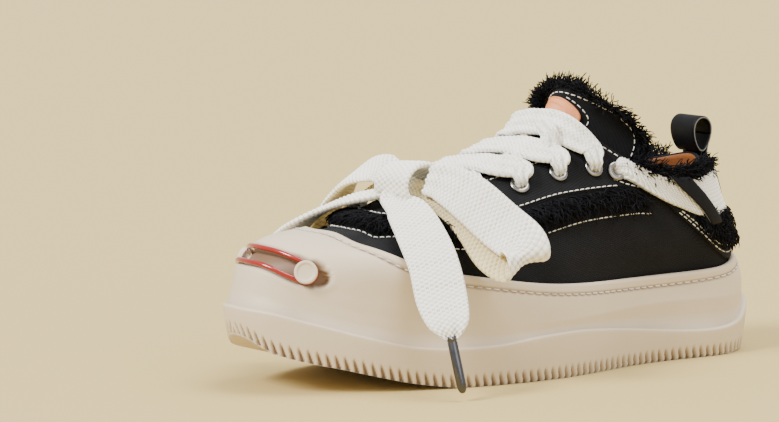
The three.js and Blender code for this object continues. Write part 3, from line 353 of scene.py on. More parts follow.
def tube_faces(rings, corners):
    """Faces of a tube made of rings with the same number of corners: its side, then its two ends."""
    ends = [np.arange(corners)[::-1], (rings - 1) * corners + np.arange(corners)]
    return list(grid_faces(rings, corners, False, True)) + ends


def plait_relief(across, along):
    """Height of the plaits, from 0 to 1: lozenges in slanted rows, each row half a lozenge further on."""
    column = (across + 1) * 0.5 * LACE_PLAITS
    row = along / LACE_PLAIT_LENGTH
    return np.sqrt(np.abs(np.sin(math.pi * (column + row)) * np.sin(math.pi * (column - row))))


def plait_shade(relief):
    """How deep a spot lies between the plaits, from 0 to 1, for the painted shade in the colour."""
    return np.clip((0.62 - relief) / 0.5, 0, 1)


def tape(name, route, look, fold=0.0, inner_side=0, inner_share=0.0, step=LACE_STEP, edge_count=45):
    """A length of flat tape on a route of (x, y, z, across x, across y, across z, width) rows, in metres.
    Where it is squeezed narrower than it was braided, fold gathers it into pleats. The face on its
    inner_side is marked for a painted warm shade, as the inside of a loop, over the first inner_share of its length."""
    route = np.asarray(route, float)
    places = np.linspace(0, 1, len(route))
    shares, length = evenly(route[:, :3], step)
    centre = along_curve(route[:, :3], shares)
    *across, width = (smooth(np.stack([places, column], 1), shares) for column in route[:, 3:].T)
    across = unit(np.stack(across, axis=1))
    ahead = unit(np.gradient(centre, axis=0))
    flat = unit(across - ahead * np.sum(across * ahead, axis=1, keepdims=True))
    face = np.cross(ahead, flat)
    side = np.linspace(-1, 1, edge_count)
    ring_side = np.concatenate([side, side[::-1]])
    ring_sign = np.repeat([-1.0, 1.0], edge_count)
    body = np.clip(1 - np.abs(ring_side) ** EDGE_POWER, 0, 1) ** 0.5
    rim = EDGE_RIM * hump(np.abs(ring_side), 0.93, 0.05)
    walked = np.linspace(0, length, len(shares))
    relief = plait_relief(ring_side[None, :], walked[:, None])
    swell = 0.5 * LACE_THICKNESS * (body + rim) + LACE_RELIEF * (relief - PLAIT_MIDDLE) * body
    squeeze = np.clip(1 - width / LACE_WIDTH, 0, 1)[:, None]
    height = ring_sign * swell + fold * squeeze * np.cos(2.5 * math.pi * ring_side)
    reach = 0.5 * width[:, None] * ring_side
    spots = centre[:, None] + flat[:, None] * reach[..., None] + face[:, None] * height[..., None]
    rows, columns = spots.shape[:2]
    round_edge = np.concatenate([(ring_side + 1) * 0.5 * LACE_WIDTH, [0.0]])
    uv = grid_uv(rows, columns, walked, round_edge, False, True)
    uv = np.vstack([uv, np.zeros((2 * columns, 2))])
    piece = new_piece(name, spots.reshape(-1, 3), tube_faces(rows, columns), look, uv)
    # Painted warm shade: marks the inner face of a loop, which the look multiplies towards yellow.
    inside = (ring_sign * inner_side > 0) * np.clip((inner_share - shares) / 0.03, 0, 1)[:, None]
    # Painted shade in the hollows between the plaits.
    mark_points(piece, "hollow_shade", plait_shade(relief))
    mark_points(piece, "inside", inside)
    return piece, centre, length


def recalculated(piece, weld=0.0):
    """Turns the faces of a closed piece outwards, after welding vertices that lie closer than weld."""
    bpy.ops.object.select_all(action="DESELECT")
    piece.select_set(True)
    bpy.context.view_layer.objects.active = piece
    bpy.ops.object.mode_set(mode="EDIT")
    bpy.ops.mesh.select_all(action="SELECT")
    if weld > 0:
        bpy.ops.mesh.remove_doubles(threshold=weld)
    bpy.ops.mesh.normals_make_consistent(inside=False)
    bpy.ops.object.mode_set(mode="OBJECT")
    piece.select_set(False)
    return piece


def node_of(tree, kind, **inputs):
    """A new shader node with some inputs set. An underscore stands for a space in an input's name."""
    node = tree.nodes.new(kind)
    for name, value in inputs.items():
        node.inputs[name.replace("_", " ")].default_value = value
    return node


def mix_node(tree, second, blend_type="MIX"):
    """A node that takes the colour at A towards the second colour by its factor."""
    node = tree.nodes.new("ShaderNodeMix")
    node.data_type = "RGBA"
    node.blend_type = blend_type
    node.inputs["B"].default_value = (*second, 1.0)
    return node


def math_node(tree, operation, number=0, value=0.5):
    """A node that reckons with numbers. One of its inputs is set, the others are linked."""
    node = tree.nodes.new("ShaderNodeMath")
    node.operation = operation
    node.inputs[number].default_value = value
    return node


def mark_node(tree, name):
    """A node that reads the values that mark_points stored."""
    node = tree.nodes.new("ShaderNodeAttribute")
    node.attribute_name = name
    return node


def cloth_node(tree):
    """A node that gives the way along and across the cloth, in metres."""
    node = tree.nodes.new("ShaderNodeUVMap")
    node.uv_map = "cloth"
    return node


def wire(tree, *links):
    """Links the nodes of a tree: each link is a node and its output, then a node and its input."""
    for source, output, target, entry in links:
        tree.links.new(source.outputs[output], target.inputs[entry])


def soil_group():
    """Soil: a mask of soft patches and specks of dirt, for the base colour."""
    group = bpy.data.node_groups.new("soil", "ShaderNodeTree")
    for socket, way in (("Patch Scale", "INPUT"), ("Amount", "INPUT"), ("Mask", "OUTPUT")):
        group.interface.new_socket(socket, in_out=way, socket_type="NodeSocketFloat")
    entry = group.nodes.new("NodeGroupInput")
    exit_node = group.nodes.new("NodeGroupOutput")
    place = group.nodes.new("ShaderNodeTexCoord")
    patches = node_of(group, "ShaderNodeTexNoise", Detail=5.0, Roughness=0.6)
    ramp = node_of(group, "ShaderNodeMapRange", From_Min=0.45, From_Max=0.75)
    strength = math_node(group, "MULTIPLY")
    wire(
        group, (place, "Object", patches, "Vector"), (entry, "Patch Scale", patches, "Scale"),
        (patches, "Fac", ramp, "Value"), (ramp, "Result", strength, 0), (entry, "Amount", strength, 1),
        (strength, "Value", exit_node, "Mask"))
    return group


SOIL = soil_group()


def soiled_material(name, clean, dirty, roughness, patch_scale, amount):
    """A material with a clean and a dirty colour, mixed by the soil mask. It gives back the pieces of
    its tree that a finish goes on building with."""
    look = bpy.data.materials.new(name)
    look.use_nodes = True
    tree = look.node_tree
    shader = tree.nodes["Principled BSDF"]
    shader.inputs["Roughness"].default_value = roughness
    soil = tree.nodes.new("ShaderNodeGroup")
    soil.node_tree = SOIL
    soil.inputs["Patch Scale"].default_value = patch_scale
    soil.inputs["Amount"].default_value = amount
    blend = mix_node(tree, dirty)
    blend.inputs["A"].default_value = (*clean, 1.0)
    wire(tree, (soil, "Mask", blend, "Factor"), (blend, "Result", shader, "Base Color"))
    return look, tree, shader, blend


def lace_look():
    """Braided cotton tape: off-white, with painted shade in the hollows between its plaits and a painted
    yellow shade on the inside of the bow, with a fine fibre bump."""
    look, tree, shader, blend = soiled_material(
        "lace_cotton", (0.95, 0.95, 0.90), (0.84, 0.81, 0.70), 0.9, 60.0, 0.4)
    # Painted shade: the hollows between the plaits are mixed towards a dull cream.
    hollow_shade = mark_node(tree, "hollow_shade")
    # Painted warm shade: the inside of the bow is multiplied towards yellow.
    inside = mark_node(tree, "inside")
    shaded = mix_node(tree, (0.50, 0.45, 0.32))
    painted_warm_shade = mix_node(tree, (0.84, 0.72, 0.45), "MULTIPLY")
    place = cloth_node(tree)
    fibre = node_of(tree, "ShaderNodeTexNoise", Scale=2600.0, Detail=3.0)
    bump = node_of(tree, "ShaderNodeBump", Strength=0.4, Distance=0.0003)
    wire(
        tree, (hollow_shade, "Fac", shaded, "Factor"), (blend, "Result", shaded, "A"),
        (inside, "Fac", painted_warm_shade, "Factor"), (shaded, "Result", painted_warm_shade, "A"),
        (painted_warm_shade, "Result", shader, "Base Color"), (place, "UV", fibre, "Vector"),
        (fibre, "Fac", bump, "Height"), (bump, "Normal", shader, "Normal"))
    return look


LACE_COTTON = lace_look()

KNOT_CENTRE = (0.008, -0.055, 0.0935)
LATERAL_LACE = [
    (0.0225, -0.053, 0.0965, 0.45, 0.6, 0.66, 0.015),
    (0.031, -0.049, 0.0955, 0.4, 0.65, 0.65, 0.019),
    (0.044, -0.0438, 0.0898, 0.35, 0.68, 0.65, 0.023),
    (0.060, -0.0365, 0.0778, 0.3, 0.7, 0.64, 0.024),
    (0.0712, -0.0322, 0.0705, 0.22, 0.78, 0.58, 0.024),
    (0.0750, -0.0322, 0.0643, 0.16, 0.82, 0.54, 0.024),
    (0.0705, -0.0342, 0.0600, 0.16, 0.82, 0.54, 0.024),
    (0.060, -0.038, 0.0652, 0.22, 0.76, 0.6, 0.024),
    (0.048, -0.0416, 0.076, 0.32, 0.7, 0.63, 0.021),
    (0.035, -0.046, 0.0840, 0.45, 0.65, 0.55, 0.016),
    (0.023, -0.0515, 0.0885, 0.45, 0.6, 0.6, 0.013),
    (0.012, -0.058, 0.0915, 0.4, 0.8, 0.4, 0.012),
    (0.014, -0.0675, 0.088, 0.31, 0.93, 0.19, 0.012),
    (0.027, -0.067, 0.083, 0.31, 0.93, 0.19, 0.021),
    (0.044, -0.069, 0.0715, 0.31, 0.93, 0.19, 0.024),
    (0.057, -0.071, 0.060, 0.4, 0.9, 0.17, 0.024),
    (0.068, -0.0737, 0.0457, 0.44, 0.88, 0.15, 0.024),
    (0.0768, -0.0754, 0.0355, 0.44, 0.88, 0.15, 0.019),
    (0.0786, -0.075, 0.0286, 0.44, 0.88, 0.15, 0.007),
]
MEDIAL_LACE = [
    (-0.007, -0.0555, 0.0965, 0, 0.8, 0.6, 0.015),
    (-0.015, -0.057, 0.0995, 0, 0.84, 0.55, 0.020),
    (-0.028, -0.0605, 0.0965, -0.1, 0.85, 0.5, 0.024),
    (-0.040, -0.063, 0.0870, -0.15, 0.87, 0.45, 0.024),
    (-0.049, -0.064, 0.0745, -0.13, 0.93, 0.32, 0.024),
    (-0.053, -0.0635, 0.0675, -0.12, 0.96, 0.22, 0.024),
    (-0.0485, -0.0625, 0.0642, -0.12, 0.96, 0.22, 0.024),
    (-0.0425, -0.061, 0.0712, -0.13, 0.94, 0.3, 0.024),
    (-0.033, -0.0585, 0.0815, -0.1, 0.89, 0.42, 0.022),
    (-0.018, -0.056, 0.0905, 0, 0.84, 0.55, 0.018),
    (-0.007, -0.0545, 0.0905, 0, 0.8, 0.6, 0.013),
    (0.003, -0.059, 0.0905, -0.1, 0.9, 0.3, 0.012),
    (-0.0006, -0.0664, 0.0887, -0.2, 0.9, 0.2, 0.012),
    (-0.016, -0.075, 0.0847, -0.3, 0.9, 0.19, 0.021),
    (-0.031, -0.0846, 0.077, -0.25, 0.93, 0.19, 0.024),
    (-0.045, -0.088, 0.0686, -0.15, 0.97, 0.17, 0.024),
    (-0.054, -0.0895, 0.0575, -0.12, 0.98, 0.1, 0.024),
    (-0.059, -0.090, 0.048, -0.12, 0.98, 0.1, 0.019),
    (-0.0605, -0.090, 0.0415, -0.12, 0.98, 0.1, 0.007),
]
KNOT_WRAP_STEPS = 14
KNOT_WRAP_OVERLAP = 3
KNOT_WRAP_RADII = (0.0125, 0.0095)
KNOT_WRAP_WIDTH = 0.0225


def knot_wrap():
    """The wrap: one turn of tape round the middle of the bow, with its ends tucked under."""
    axis = Vector((0.93, 0.2, 0.05)).normalized()
    to_toe = Vector((0.0, -1.0, 0.0))
    forward = (to_toe - axis * axis.dot(to_toe)).normalized()
    downward = axis.cross(forward)
    rows = []
    for k in range(KNOT_WRAP_STEPS + KNOT_WRAP_OVERLAP):
        angle = 2 * math.pi * k / KNOT_WRAP_STEPS
        spot = (
            Vector(KNOT_CENTRE)
            + forward * (KNOT_WRAP_RADII[0] * math.sin(angle))
            + downward * (KNOT_WRAP_RADII[1] * math.cos(angle))
            + axis * (0.002 * math.sin(angle * 0.5))
        )
        rows.append((*spot, *axis, KNOT_WRAP_WIDTH))
    return tape("lace_wrap", rows, LACE_COTTON)[0]


bow_lateral, lateral_path, lateral_length = tape(
    "bow_lateral", LATERAL_LACE, LACE_COTTON, LACE_FOLD, inner_side=-1, inner_share=LOOP_SHARE)
bow_medial, medial_path, medial_length = tape(
    "bow_medial", MEDIAL_LACE, LACE_COTTON, LACE_FOLD, inner_side=1, inner_share=LOOP_SHARE)
bow_wrap = knot_wrap()
for piece in (bow_lateral, bow_medial, bow_wrap):
    recalculated(piece)
    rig.ride(piece, "root")
    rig.slot(piece, "lace")
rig.replaces(bow_lateral, "lace_loop_lateral", "lace_end_lateral")
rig.replaces(bow_medial, "lace_loop_medial", "lace_end_medial")
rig.replaces(bow_wrap, "lace_knot")


# The last: the shape that the upper is pulled over, as sections from toe to heel, with the outline of
# the sole round it. Its places run from -1 at the heel over the inner side to 0 at the toe and 1 at the
# heel, and its levels from 0 at the foot to 5 at the top edge.
SOLE_LENGTH = 0.296
BALL_WIDTH = 0.110
COLLAR_HEIGHT = 0.100
TOE_SPRING = 0.029
HEEL_LIFT = 0.0025
FOREFOOT_THICKNESS = 0.020
HEEL_THICKNESS = 0.026
TOE_THICKNESS = 0.013
SEAM_GAP = 0.0003
TOP_LEVEL = 5.0
CORNER_ROUNDNESS = 0.85
OUTLINE_LATERAL = [
    (0, 0.455), (0.167, 0.49), (0.333, 0.508), (0.5, 0.49), (0.667, 0.36), (0.833, 0.468), (1, 0.438)]
OUTLINE_MEDIAL = [
    (0, 0.447), (0.167, 0.494), (0.333, 0.536), (0.5, 0.436), (0.667, 0.382), (0.833, 0.49), (1, 0.42)]
SPRING_CURVE = [
    (-0.5, 1), (-0.46, 0.66), (-0.36, 0.385), (-0.28, 0.18), (-0.23, 0.08), (-0.16, 0), (0.42, 0), (0.5, 1)]
THICKNESS_CURVE = [(-0.5, 0), (-0.4, 0.45), (-0.25, 1), (0.5, 1)]
LEDGE_CURVE = [
    (0, 0.0405), (0.11, 0.0388), (0.2, 0.033), (0.27, 0.0266), (0.34, 0.0206), (0.42, 0.0194),
    (0.49, 0.022), (0.55, 0.0222), (0.7, 0.0154), (0.78, 0.0144), (0.85, 0.0175), (0.92, 0.025), (1, 0.029)]
LEDGE_CURVE_TOE = 0.042
SECTIONS = [
    (0, (0, -0.419, 0.66), (0, -0.345, 0.705), (0, -0.27, 0.755), (0, -0.203, 0.83)),
    (0.1, (0.165, -0.396, 0.64), (0.128, -0.331, 0.7), (0.095, -0.263, 0.755), (0.075, -0.199, 0.832)),
    (0.2, (0.3, -0.338, 0.605), (0.236, -0.295, 0.68), (0.175, -0.243, 0.76), (0.125, -0.182, 0.85)),
    (0.3, (0.382, -0.26, 0.58), (0.318, -0.23, 0.7), (0.24, -0.195, 0.79), (0.142, -0.142, 0.89)),
    (0.4, (0.418, -0.152, 0.57), (0.354, -0.135, 0.71), (0.262, -0.118, 0.825), (0.146, -0.075, 0.935)),
    (0.5, (0.41, -0.017, 0.58), (0.352, -0.027, 0.74), (0.25, -0.037, 0.885), (0.15, -0.007, 0.98)),
    (0.6, (0.366, 0.122, 0.61), (0.325, 0.081, 0.79), (0.238, 0.047, 0.945), (0.146, 0.068, 1.04)),
    (0.7, (0.32, 0.247, 0.61), (0.296, 0.189, 0.8), (0.236, 0.145, 0.965), (0.14, 0.142, 1.13)),
    (0.8, (0.285, 0.341, 0.6), (0.282, 0.287, 0.78), (0.268, 0.24, 0.9), (0.236, 0.213, 1.0)),
    (0.88, (0.248, 0.392, 0.6), (0.262, 0.349, 0.77), (0.268, 0.318, 0.87), (0.265, 0.3, 0.935)),
    (0.95, (0.147, 0.433, 0.6), (0.162, 0.402, 0.77), (0.168, 0.386, 0.88), (0.17, 0.373, 0.965)),
    (1, (0, 0.448, 0.61), (0, 0.43, 0.78), (0, 0.416, 0.9), (0, 0.405, 1.0)),
]
FOOT_INSET = [
    (0, 0.0145), (0.2, 0.0125), (0.4, 0.011), (0.6, 0.009), (0.8, 0.009), (0.9, 0.0105), (1, 0.0135)]
SIDE_INSET = [
    (0, 0.013), (0.1, 0.012), (0.2, 0.010), (0.3, 0.0085), (0.4, 0.008), (0.6, 0.0068), (0.8, 0.0068),
    (0.9, 0.0085), (1, 0.012)]
SIDE_HEIGHT = [(0, 0.55), (0.1, 0.54), (0.2, 0.48), (0.3, 0.43), (0.4, 0.41), (0.8, 0.4), (1, 0.42)]
RUBBER_LEVEL = [
    (0, 3), (0.1, 2.98), (0.2, 2.62), (0.3, 2.12), (0.4, 1.68), (0.5, 1.27), (0.6, 1.16), (0.8, 1.22),
    (0.9, 1.32), (1, 1.38)]
HIGHEST_SEAM = 4.97
EYESTAY_LEVEL = [
    (0, 4.45), (0.15, 4.35), (0.3, 3.9), (0.42, 3.5), (0.55, 3.42), (0.7, 3.45), (0.78, 3.7),
    (0.81, HIGHEST_SEAM), (1, HIGHEST_SEAM)]


def outline_spot(place):
    """Points of the sole's outline, seen from above."""
    along = np.abs(place)
    width = np.where(place < 0, smooth(OUTLINE_MEDIAL, along), smooth(OUTLINE_LATERAL, along))
    bulge = np.maximum(np.sin(math.pi * along), 0) ** CORNER_ROUNDNESS
    y = -0.5 * SOLE_LENGTH * np.cos(math.pi * along)
    return np.stack([np.sign(place) * width * BALL_WIDTH * bulge, y], -1)


def wrapped(place):
    """Places that run past the heel, brought back to the other side."""
    return np.where(place > 1, place - 2, np.where(place < -1, place + 2, place))


def outline_point(place, inset):
    """Points inside the outline, each an inset away from it."""
    place = wrapped(np.asarray(place, float))
    ahead = unit(outline_spot(wrapped(place + 1e-3)) - outline_spot(wrapped(place - 1e-3)))
    inward = -np.stack([ahead[..., 1], -ahead[..., 0]], -1)
    return outline_spot(place) + inward * np.asarray(inset)[..., None]


def underside_height(y):
    share = np.maximum(smooth(SPRING_CURVE, y / SOLE_LENGTH), 0)
    return share * np.where(y < 0, TOE_SPRING, HEEL_LIFT)


def floor_height(y):
    """How high the foot lies over the ground: the sole's thickness on top of its spring."""
    along = y / SOLE_LENGTH
    share = smooth(THICKNESS_CURVE, along)
    front = TOE_THICKNESS + (FOREFOOT_THICKNESS - TOE_THICKNESS) * share
    rear = eased(np.clip((along + 0.15) / 0.4, 0, 1))
    return underside_height(y) * (y < 0) + front + (HEEL_THICKNESS - front) * rear


def mirrored_curve(along, level, axis):
    """One coordinate of a level line. It runs on past the toe and the heel as its mirror image."""
    scale = (BALL_WIDTH, SOLE_LENGTH, COLLAR_HEIGHT)[axis]
    rows = [(row[0], row[level - 1][axis] * scale) for row in SECTIONS]
    sign = -1 if axis == 0 else 1
    before = (-rows[1][0], sign * rows[1][1])
    after = (2 - rows[-2][0], sign * rows[-2][1])
    return smooth([before, *rows, after], along)


def upper_point(place, level):
    """Points of the upper's outside, for arrays of places and levels."""
    place, level = np.broadcast_arrays(wrapped(np.asarray(place, float)), np.asarray(level, float))
    along = np.abs(place)
    foot = outline_point(place, smooth(FOOT_INSET, along))
    side = outline_point(place, smooth(SIDE_INSET, along))
    controls = [
        np.stack([foot[..., 0], foot[..., 1], floor_height(foot[..., 1]) + SEAM_GAP], -1),
        np.stack([side[..., 0], side[..., 1], smooth(SIDE_HEIGHT, along) * COLLAR_HEIGHT], -1),
    ]
    for k in (2, 3, 4, 5):
        x, y, z = (mirrored_curve(along, k, axis) for axis in range(3))
        controls.append(np.stack([np.where(place < 0, -x, x), y, z], -1))
    controls = [2 * controls[0] - controls[1], *controls, 2 * controls[5] - controls[4]]
    stack = np.stack(controls)
    level = np.clip(level, 0, TOP_LEVEL)
    first = np.minimum(level.astype(int), 4)
    near = (
        np.take_along_axis(stack, (first + k)[None, ..., None].repeat(3, -1), 0)[0] for k in range(4))
    return spline(*near, (level - first)[..., None])


def upper_normal(place, level):
    place, level = np.asarray(place, float), np.asarray(level, float)
    around = upper_point(place + 0.004, level) - upper_point(place - 0.004, level)
    above = upper_point(place, np.minimum(level + 0.05, TOP_LEVEL))
    below = upper_point(place, np.maximum(level - 0.05, 0))
    return unit(np.cross(around, above - below))


def offset_point(place, level, offset):
    """Points an offset in metres outside the upper's outside."""
    offset = np.asarray(offset, float)
    return upper_point(place, level) + upper_normal(place, level) * offset[..., None]


def rubber_level(place):
    """The level of the rubber's top edge."""
    return smooth(RUBBER_LEVEL, np.abs(place))


def eyestay_level(place):
    """The level of the eyestay's lower edge."""
    return np.minimum(smooth(EYESTAY_LEVEL, np.abs(place)), HIGHEST_SEAM)


# Upper: one shell of black cotton twill with a tan lining, sewn to shape and glued down inside the
# rubber. Its eyestay is a second layer of twill, stitched on along the throat. Soft troughs cross the
# vamp where the foot bends, and the quarter dips a little behind the ball.
UPPER_WALL = 0.002
EYESTAY_STEP = 0.001
EYESTAY_END = 0.8
UPPER_COLUMNS = 380
QUARTER_ROWS = 46
STAY_ROWS = 26
LINING_ROWS = 22
HIDDEN_FOOT_LEVELS = (0.0, 0.35, 0.7)
CROWN_RISE = 0.0006
# Creases: place and level of the middle, reach along and up, and depth, in metres where it is a depth.
CREASES = [
    (0.18, 3.5, 0.035, 0.5, -0.0011),
    (-0.16, 3.6, 0.035, 0.45, -0.0012),
    (0.27, 3.05, 0.03, 0.6, 0.0009),
    (0.34, 3.0, 0.022, 0.75, -0.0014),
    (-0.33, 3.0, 0.024, 0.75, -0.0013),
    (0.41, 2.5, 0.026, 0.7, 0.0009),
    (0.47, 2.3, 0.02, 0.8, -0.001),
    (-0.45, 2.4, 0.022, 0.8, -0.001),
    (0.62, 2.2, 0.05, 0.5, -0.0013),
    (-0.62, 2.2, 0.05, 0.5, -0.0013),
    (0.74, 2.6, 0.03, 0.7, 0.001),
    (-0.74, 2.6, 0.03, 0.7, 0.001),
]


def crease_height(place, level):
    total = np.zeros(np.broadcast(place, level).shape)
    for spot, middle, reach, rise, depth in CREASES:
        lean = 0.02 * (level - middle)
        total = total + depth * hump(place + lean, spot, reach) * hump(level, middle, rise)
    return total


def raised_height(place, level):
    """The eyestay's step and the creases, faded out at the rubber and at the top edge."""
    edge = eyestay_level(place)
    stay = np.clip((level - edge) / 0.03, 0, 1) * (np.abs(place) < EYESTAY_END)
    free = np.clip((level - rubber_level(place)) / 0.4, 0, 1) * np.clip((TOP_LEVEL - level) / 0.3, 0, 1)
    return EYESTAY_STEP * stay + crease_height(place, level) * free


def surface_point(place, level, offset):
    """Points an offset in metres outside the finished upper, eyestay and creases counted in."""
    place, level = np.broadcast_arrays(np.asarray(place, float), np.asarray(level, float))
    return offset_point(place, level, raised_height(place, level) + offset)


def twill_look(name, yarn, worn, twill_pitch, angle):
    """Cotton twill: dark yarn in fine slanted ridges, darker between them, with faded patches."""
    look, tree, shader, blend = soiled_material(name, yarn, worn, 0.95, 38.0, 0.35)
    shader.inputs["Specular IOR Level"].default_value = 0.2
    shader.inputs["Sheen Weight"].default_value = 0.03
    shader.inputs["Sheen Roughness"].default_value = 0.6
    place = cloth_node(tree)
    turn = node_of(tree, "ShaderNodeMapping", Rotation=(0, 0, math.radians(angle)))
    ridge = node_of(
        tree, "ShaderNodeTexWave", Scale=1.0 / twill_pitch / 3.1416, Distortion=0.6, Detail=1.0,
        Detail_Scale=600.0)
    ridge.wave_type = "BANDS"
    ridge.bands_direction = "Y"
    slub = node_of(tree, "ShaderNodeTexNoise", Scale=1800.0, Detail=3.0)
    pile = math_node(tree, "MULTIPLY_ADD", 1, 0.5)
    bump = node_of(tree, "ShaderNodeBump", Strength=0.6, Distance=0.0003)
    tint = mix_node(tree, (0.4, 0.4, 0.42), "MULTIPLY")
    flip = math_node(tree, "SUBTRACT", 0, 1.0)
    wire(
        tree, (place, "UV", turn, "Vector"), (turn, "Vector", ridge, "Vector"),
        (place, "UV", slub, "Vector"), (slub, "Fac", pile, 0), (ridge, "Fac", pile, 2),
        (pile, "Value", bump, "Height"), (bump, "Normal", shader, "Normal"),
        (ridge, "Fac", flip, 1), (flip, "Value", tint, "Factor"), (blend, "Result", tint, "A"),
        (tint, "Result", shader, "Base Color"))
    return look


def grained(tree, shader, grain, output, strength, depth):
    """Gives a shader a fine bump from a texture node that is laid through the piece's own space."""
    place = tree.nodes.new("ShaderNodeTexCoord")
    bump = node_of(tree, "ShaderNodeBump", Strength=strength, Distance=depth)
    wire(
        tree, (place, "Object", grain, "Vector"), (grain, output, bump, "Height"),
        (bump, "Normal", shader, "Normal"))


def leather_look(name, colours, roughness, soiling, gloss, pebbles, depth):
    """Smooth leather with a fine pebble grain, or its raw cut edge."""
    look, tree, shader, _ = soiled_material(name, *colours, roughness, *soiling)
    shader.inputs["Specular IOR Level"].default_value = gloss
    grained(tree, shader, node_of(tree, "ShaderNodeTexVoronoi", Scale=pebbles), "Distance", 0.3, depth)
    return look


TWILL = twill_look("upper_twill", (0.0030, 0.0034, 0.0054), (0.014, 0.015, 0.019), 0.00105, 28.0)
LINING = leather_look(
    "lining_leather", ((0.30, 0.095, 0.02), (0.13, 0.04, 0.012)), 0.6, (30.0, 0.8), 0.5, 900.0, 0.0003)

ring_places = np.linspace(-1, 1, UPPER_COLUMNS + 1)[:-1]


def girth_walked(level):
    return distance_along(upper_point(np.linspace(-1, 1, UPPER_COLUMNS + 1), level))


def upper_shell():
    places = ring_places[:, None]
    low = rubber_level(places)
    seam = eyestay_level(places)
    quarter = low + (seam - low) * np.linspace(0, 1, QUARTER_ROWS)[None, :]
    stay = seam + (TOP_LEVEL - seam) * np.linspace(0.03, 1, STAY_ROWS)[None, :]
    hidden = low * np.array(HIDDEN_FOOT_LEVELS)[None, :]
    outer = surface_point(places, np.concatenate([hidden, quarter, stay], axis=1), 0.0)
    crown = surface_point(places, TOP_LEVEL, -0.5 * UPPER_WALL)
    crown[..., 2] += CROWN_RISE
    lining = offset_point(places, np.linspace(TOP_LEVEL, 0, LINING_ROWS)[None, :], -UPPER_WALL)
    rows = np.concatenate([outer, crown, lining], axis=1)
    count = rows.shape[1]
    faces = grid_faces(UPPER_COLUMNS, count, True, True)
    heights = np.concatenate([distance_along(rows[UPPER_COLUMNS * 3 // 4]), [0]])
    uv = grid_uv(UPPER_COLUMNS, count, girth_walked(2.5), heights, True, True)
    piece = new_piece("upper_shell", rows.reshape(-1, 3), faces, [TWILL, LINING], uv)
    lined = (np.arange(len(faces)) % count) > outer.shape[1]
    piece.data.polygons.foreach_set("material_index", lined.astype(int))
    return recalculated(piece)


upper_shell_piece = upper_shell()
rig.ride(upper_shell_piece, "root")
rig.slot(upper_shell_piece, "canvas")
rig.replaces(upper_shell_piece, "upper")


# Sole: one moulding of cream rubber. A band with slanted ribs stands on the ground, a rounded ledge
# steps back to a tall side wall that rises into the toe cap, and a recess for the toe buttons is
# moulded across the cap. A thread groove runs round below the rubber's top edge.
LEDGE_STEP = 0.0026
LEDGE_ROUND = 0.0009
BAND_DRAFT = 0.0024
CUP_WALL_LOW = 0.008
CUP_WALL_TOP = 0.0034
CENTRE_INSET = 0.024
RIB_PITCH = 0.0044
RIB_DEPTH = 0.0021
RIB_HEIGHT = 0.0068
RIB_SLANT = 0.32
STEPS_PER_RIB = 7
BAND_ROWS = 20
WALL_ROWS = 34
SLOT_LEVEL = 1.4
SLOT_HEIGHT = 0.013
SLOT_DEPTH = 0.0044
BUTTON_SPACING = 0.055
THREAD_GROOVE_DROP = 0.0043
THREAD_GROOVE_WIDTH = 0.0009
THREAD_GROOVE_DEPTH = 0.0006


def wall_thickness(place, level):
    share = np.minimum(level / rubber_level(place), 1)
    return CUP_WALL_LOW + (CUP_WALL_TOP - CUP_WALL_LOW) * share


def wall_point(place, level, offset):
    """Points an offset in metres outside the rubber's side wall."""
    place, level = np.broadcast_arrays(np.asarray(place, float), np.asarray(level, float))
    return offset_point(place, level, SEAM_GAP + wall_thickness(place, level) + offset)


def wall_frame(place, level):
    """The toe cap's outside at a place: its spot, the way along it, up it and out of it."""
    place, level = np.asarray(place, float), np.asarray(level, float)
    rise = wall_point(place, level + 0.1, 0.0) - wall_point(place, level - 0.1, 0.0)
    along = unit(wall_point(place + 0.01, level, 0.0) - wall_point(place - 0.01, level, 0.0))
    out = unit(np.cross(along, rise))
    return wall_point(place, level, 0.0), along, np.cross(out, along), out


def rubber_look():
    """Cream rubber: matt and scuffed, with painted shade darkening its grooves, its ledge and its toe recess."""
    look, tree, shader, blend = soiled_material(
        "sole_rubber", (0.62, 0.52, 0.38), (0.49, 0.40, 0.28), 0.5, 14.0, 0.35)
    recess_shade = mark_node(tree, "recess_shade")
    # Painted shade: the marked grooves, ledge seat, thread groove and toe recess are mixed towards a dark brown.
    deep = mix_node(tree, (0.19, 0.105, 0.055))
    place = tree.nodes.new("ShaderNodeTexCoord")
    grain = node_of(tree, "ShaderNodeTexNoise", Scale=900.0, Detail=4.0)
    scratch = node_of(tree, "ShaderNodeTexNoise", Scale=50.0, Detail=6.0, Roughness=0.7)
    pile = math_node(tree, "MULTIPLY_ADD", 1, 0.35)
    bump = node_of(tree, "ShaderNodeBump", Strength=0.22, Distance=0.0005)
    wire(
        tree, (blend, "Result", deep, "A"), (recess_shade, "Fac", deep, "Factor"),
        (deep, "Result", shader, "Base Color"), (place, "Object", grain, "Vector"),
        (place, "Object", scratch, "Vector"), (grain, "Fac", pile, 0), (scratch, "Fac", pile, 2),
        (pile, "Value", bump, "Height"), (bump, "Normal", shader, "Normal"))
    return look


RUBBER = rubber_look()


def even_places(count):
    """Places round the outline, evenly spaced by the distance walked along it, and that distance."""
    fine = np.linspace(-1, 1, 4001)
    walked = distance_along(outline_spot(fine))
    return np.interp(np.linspace(0, walked[-1], count + 1)[:-1], walked, fine), walked[-1]


def level_row(places, inset, height):
    """One ring of points an inset inside the outline, with their height over the ground from y."""
    flat = outline_point(places, inset)
    return np.stack([flat[:, 0], flat[:, 1], height(flat[:, 1])], -1)[:, None, :]


def centre_row(places, height):
    """One ring of points pressed flat on the sole's middle line."""
    y = -(0.5 * SOLE_LENGTH - CENTRE_INSET) * np.cos(math.pi * np.abs(places))
    return np.stack([np.zeros_like(y), y, height(y)], -1)[:, None, :]


def rising_band(places, insets, heights):
    """Rings of points with their own insets and heights, one column of each for each ring."""
    flat = np.stack([outline_point(places, insets[:, k]) for k in range(insets.shape[1])], axis=1)
    return np.concatenate([flat, heights[..., None]], axis=2)


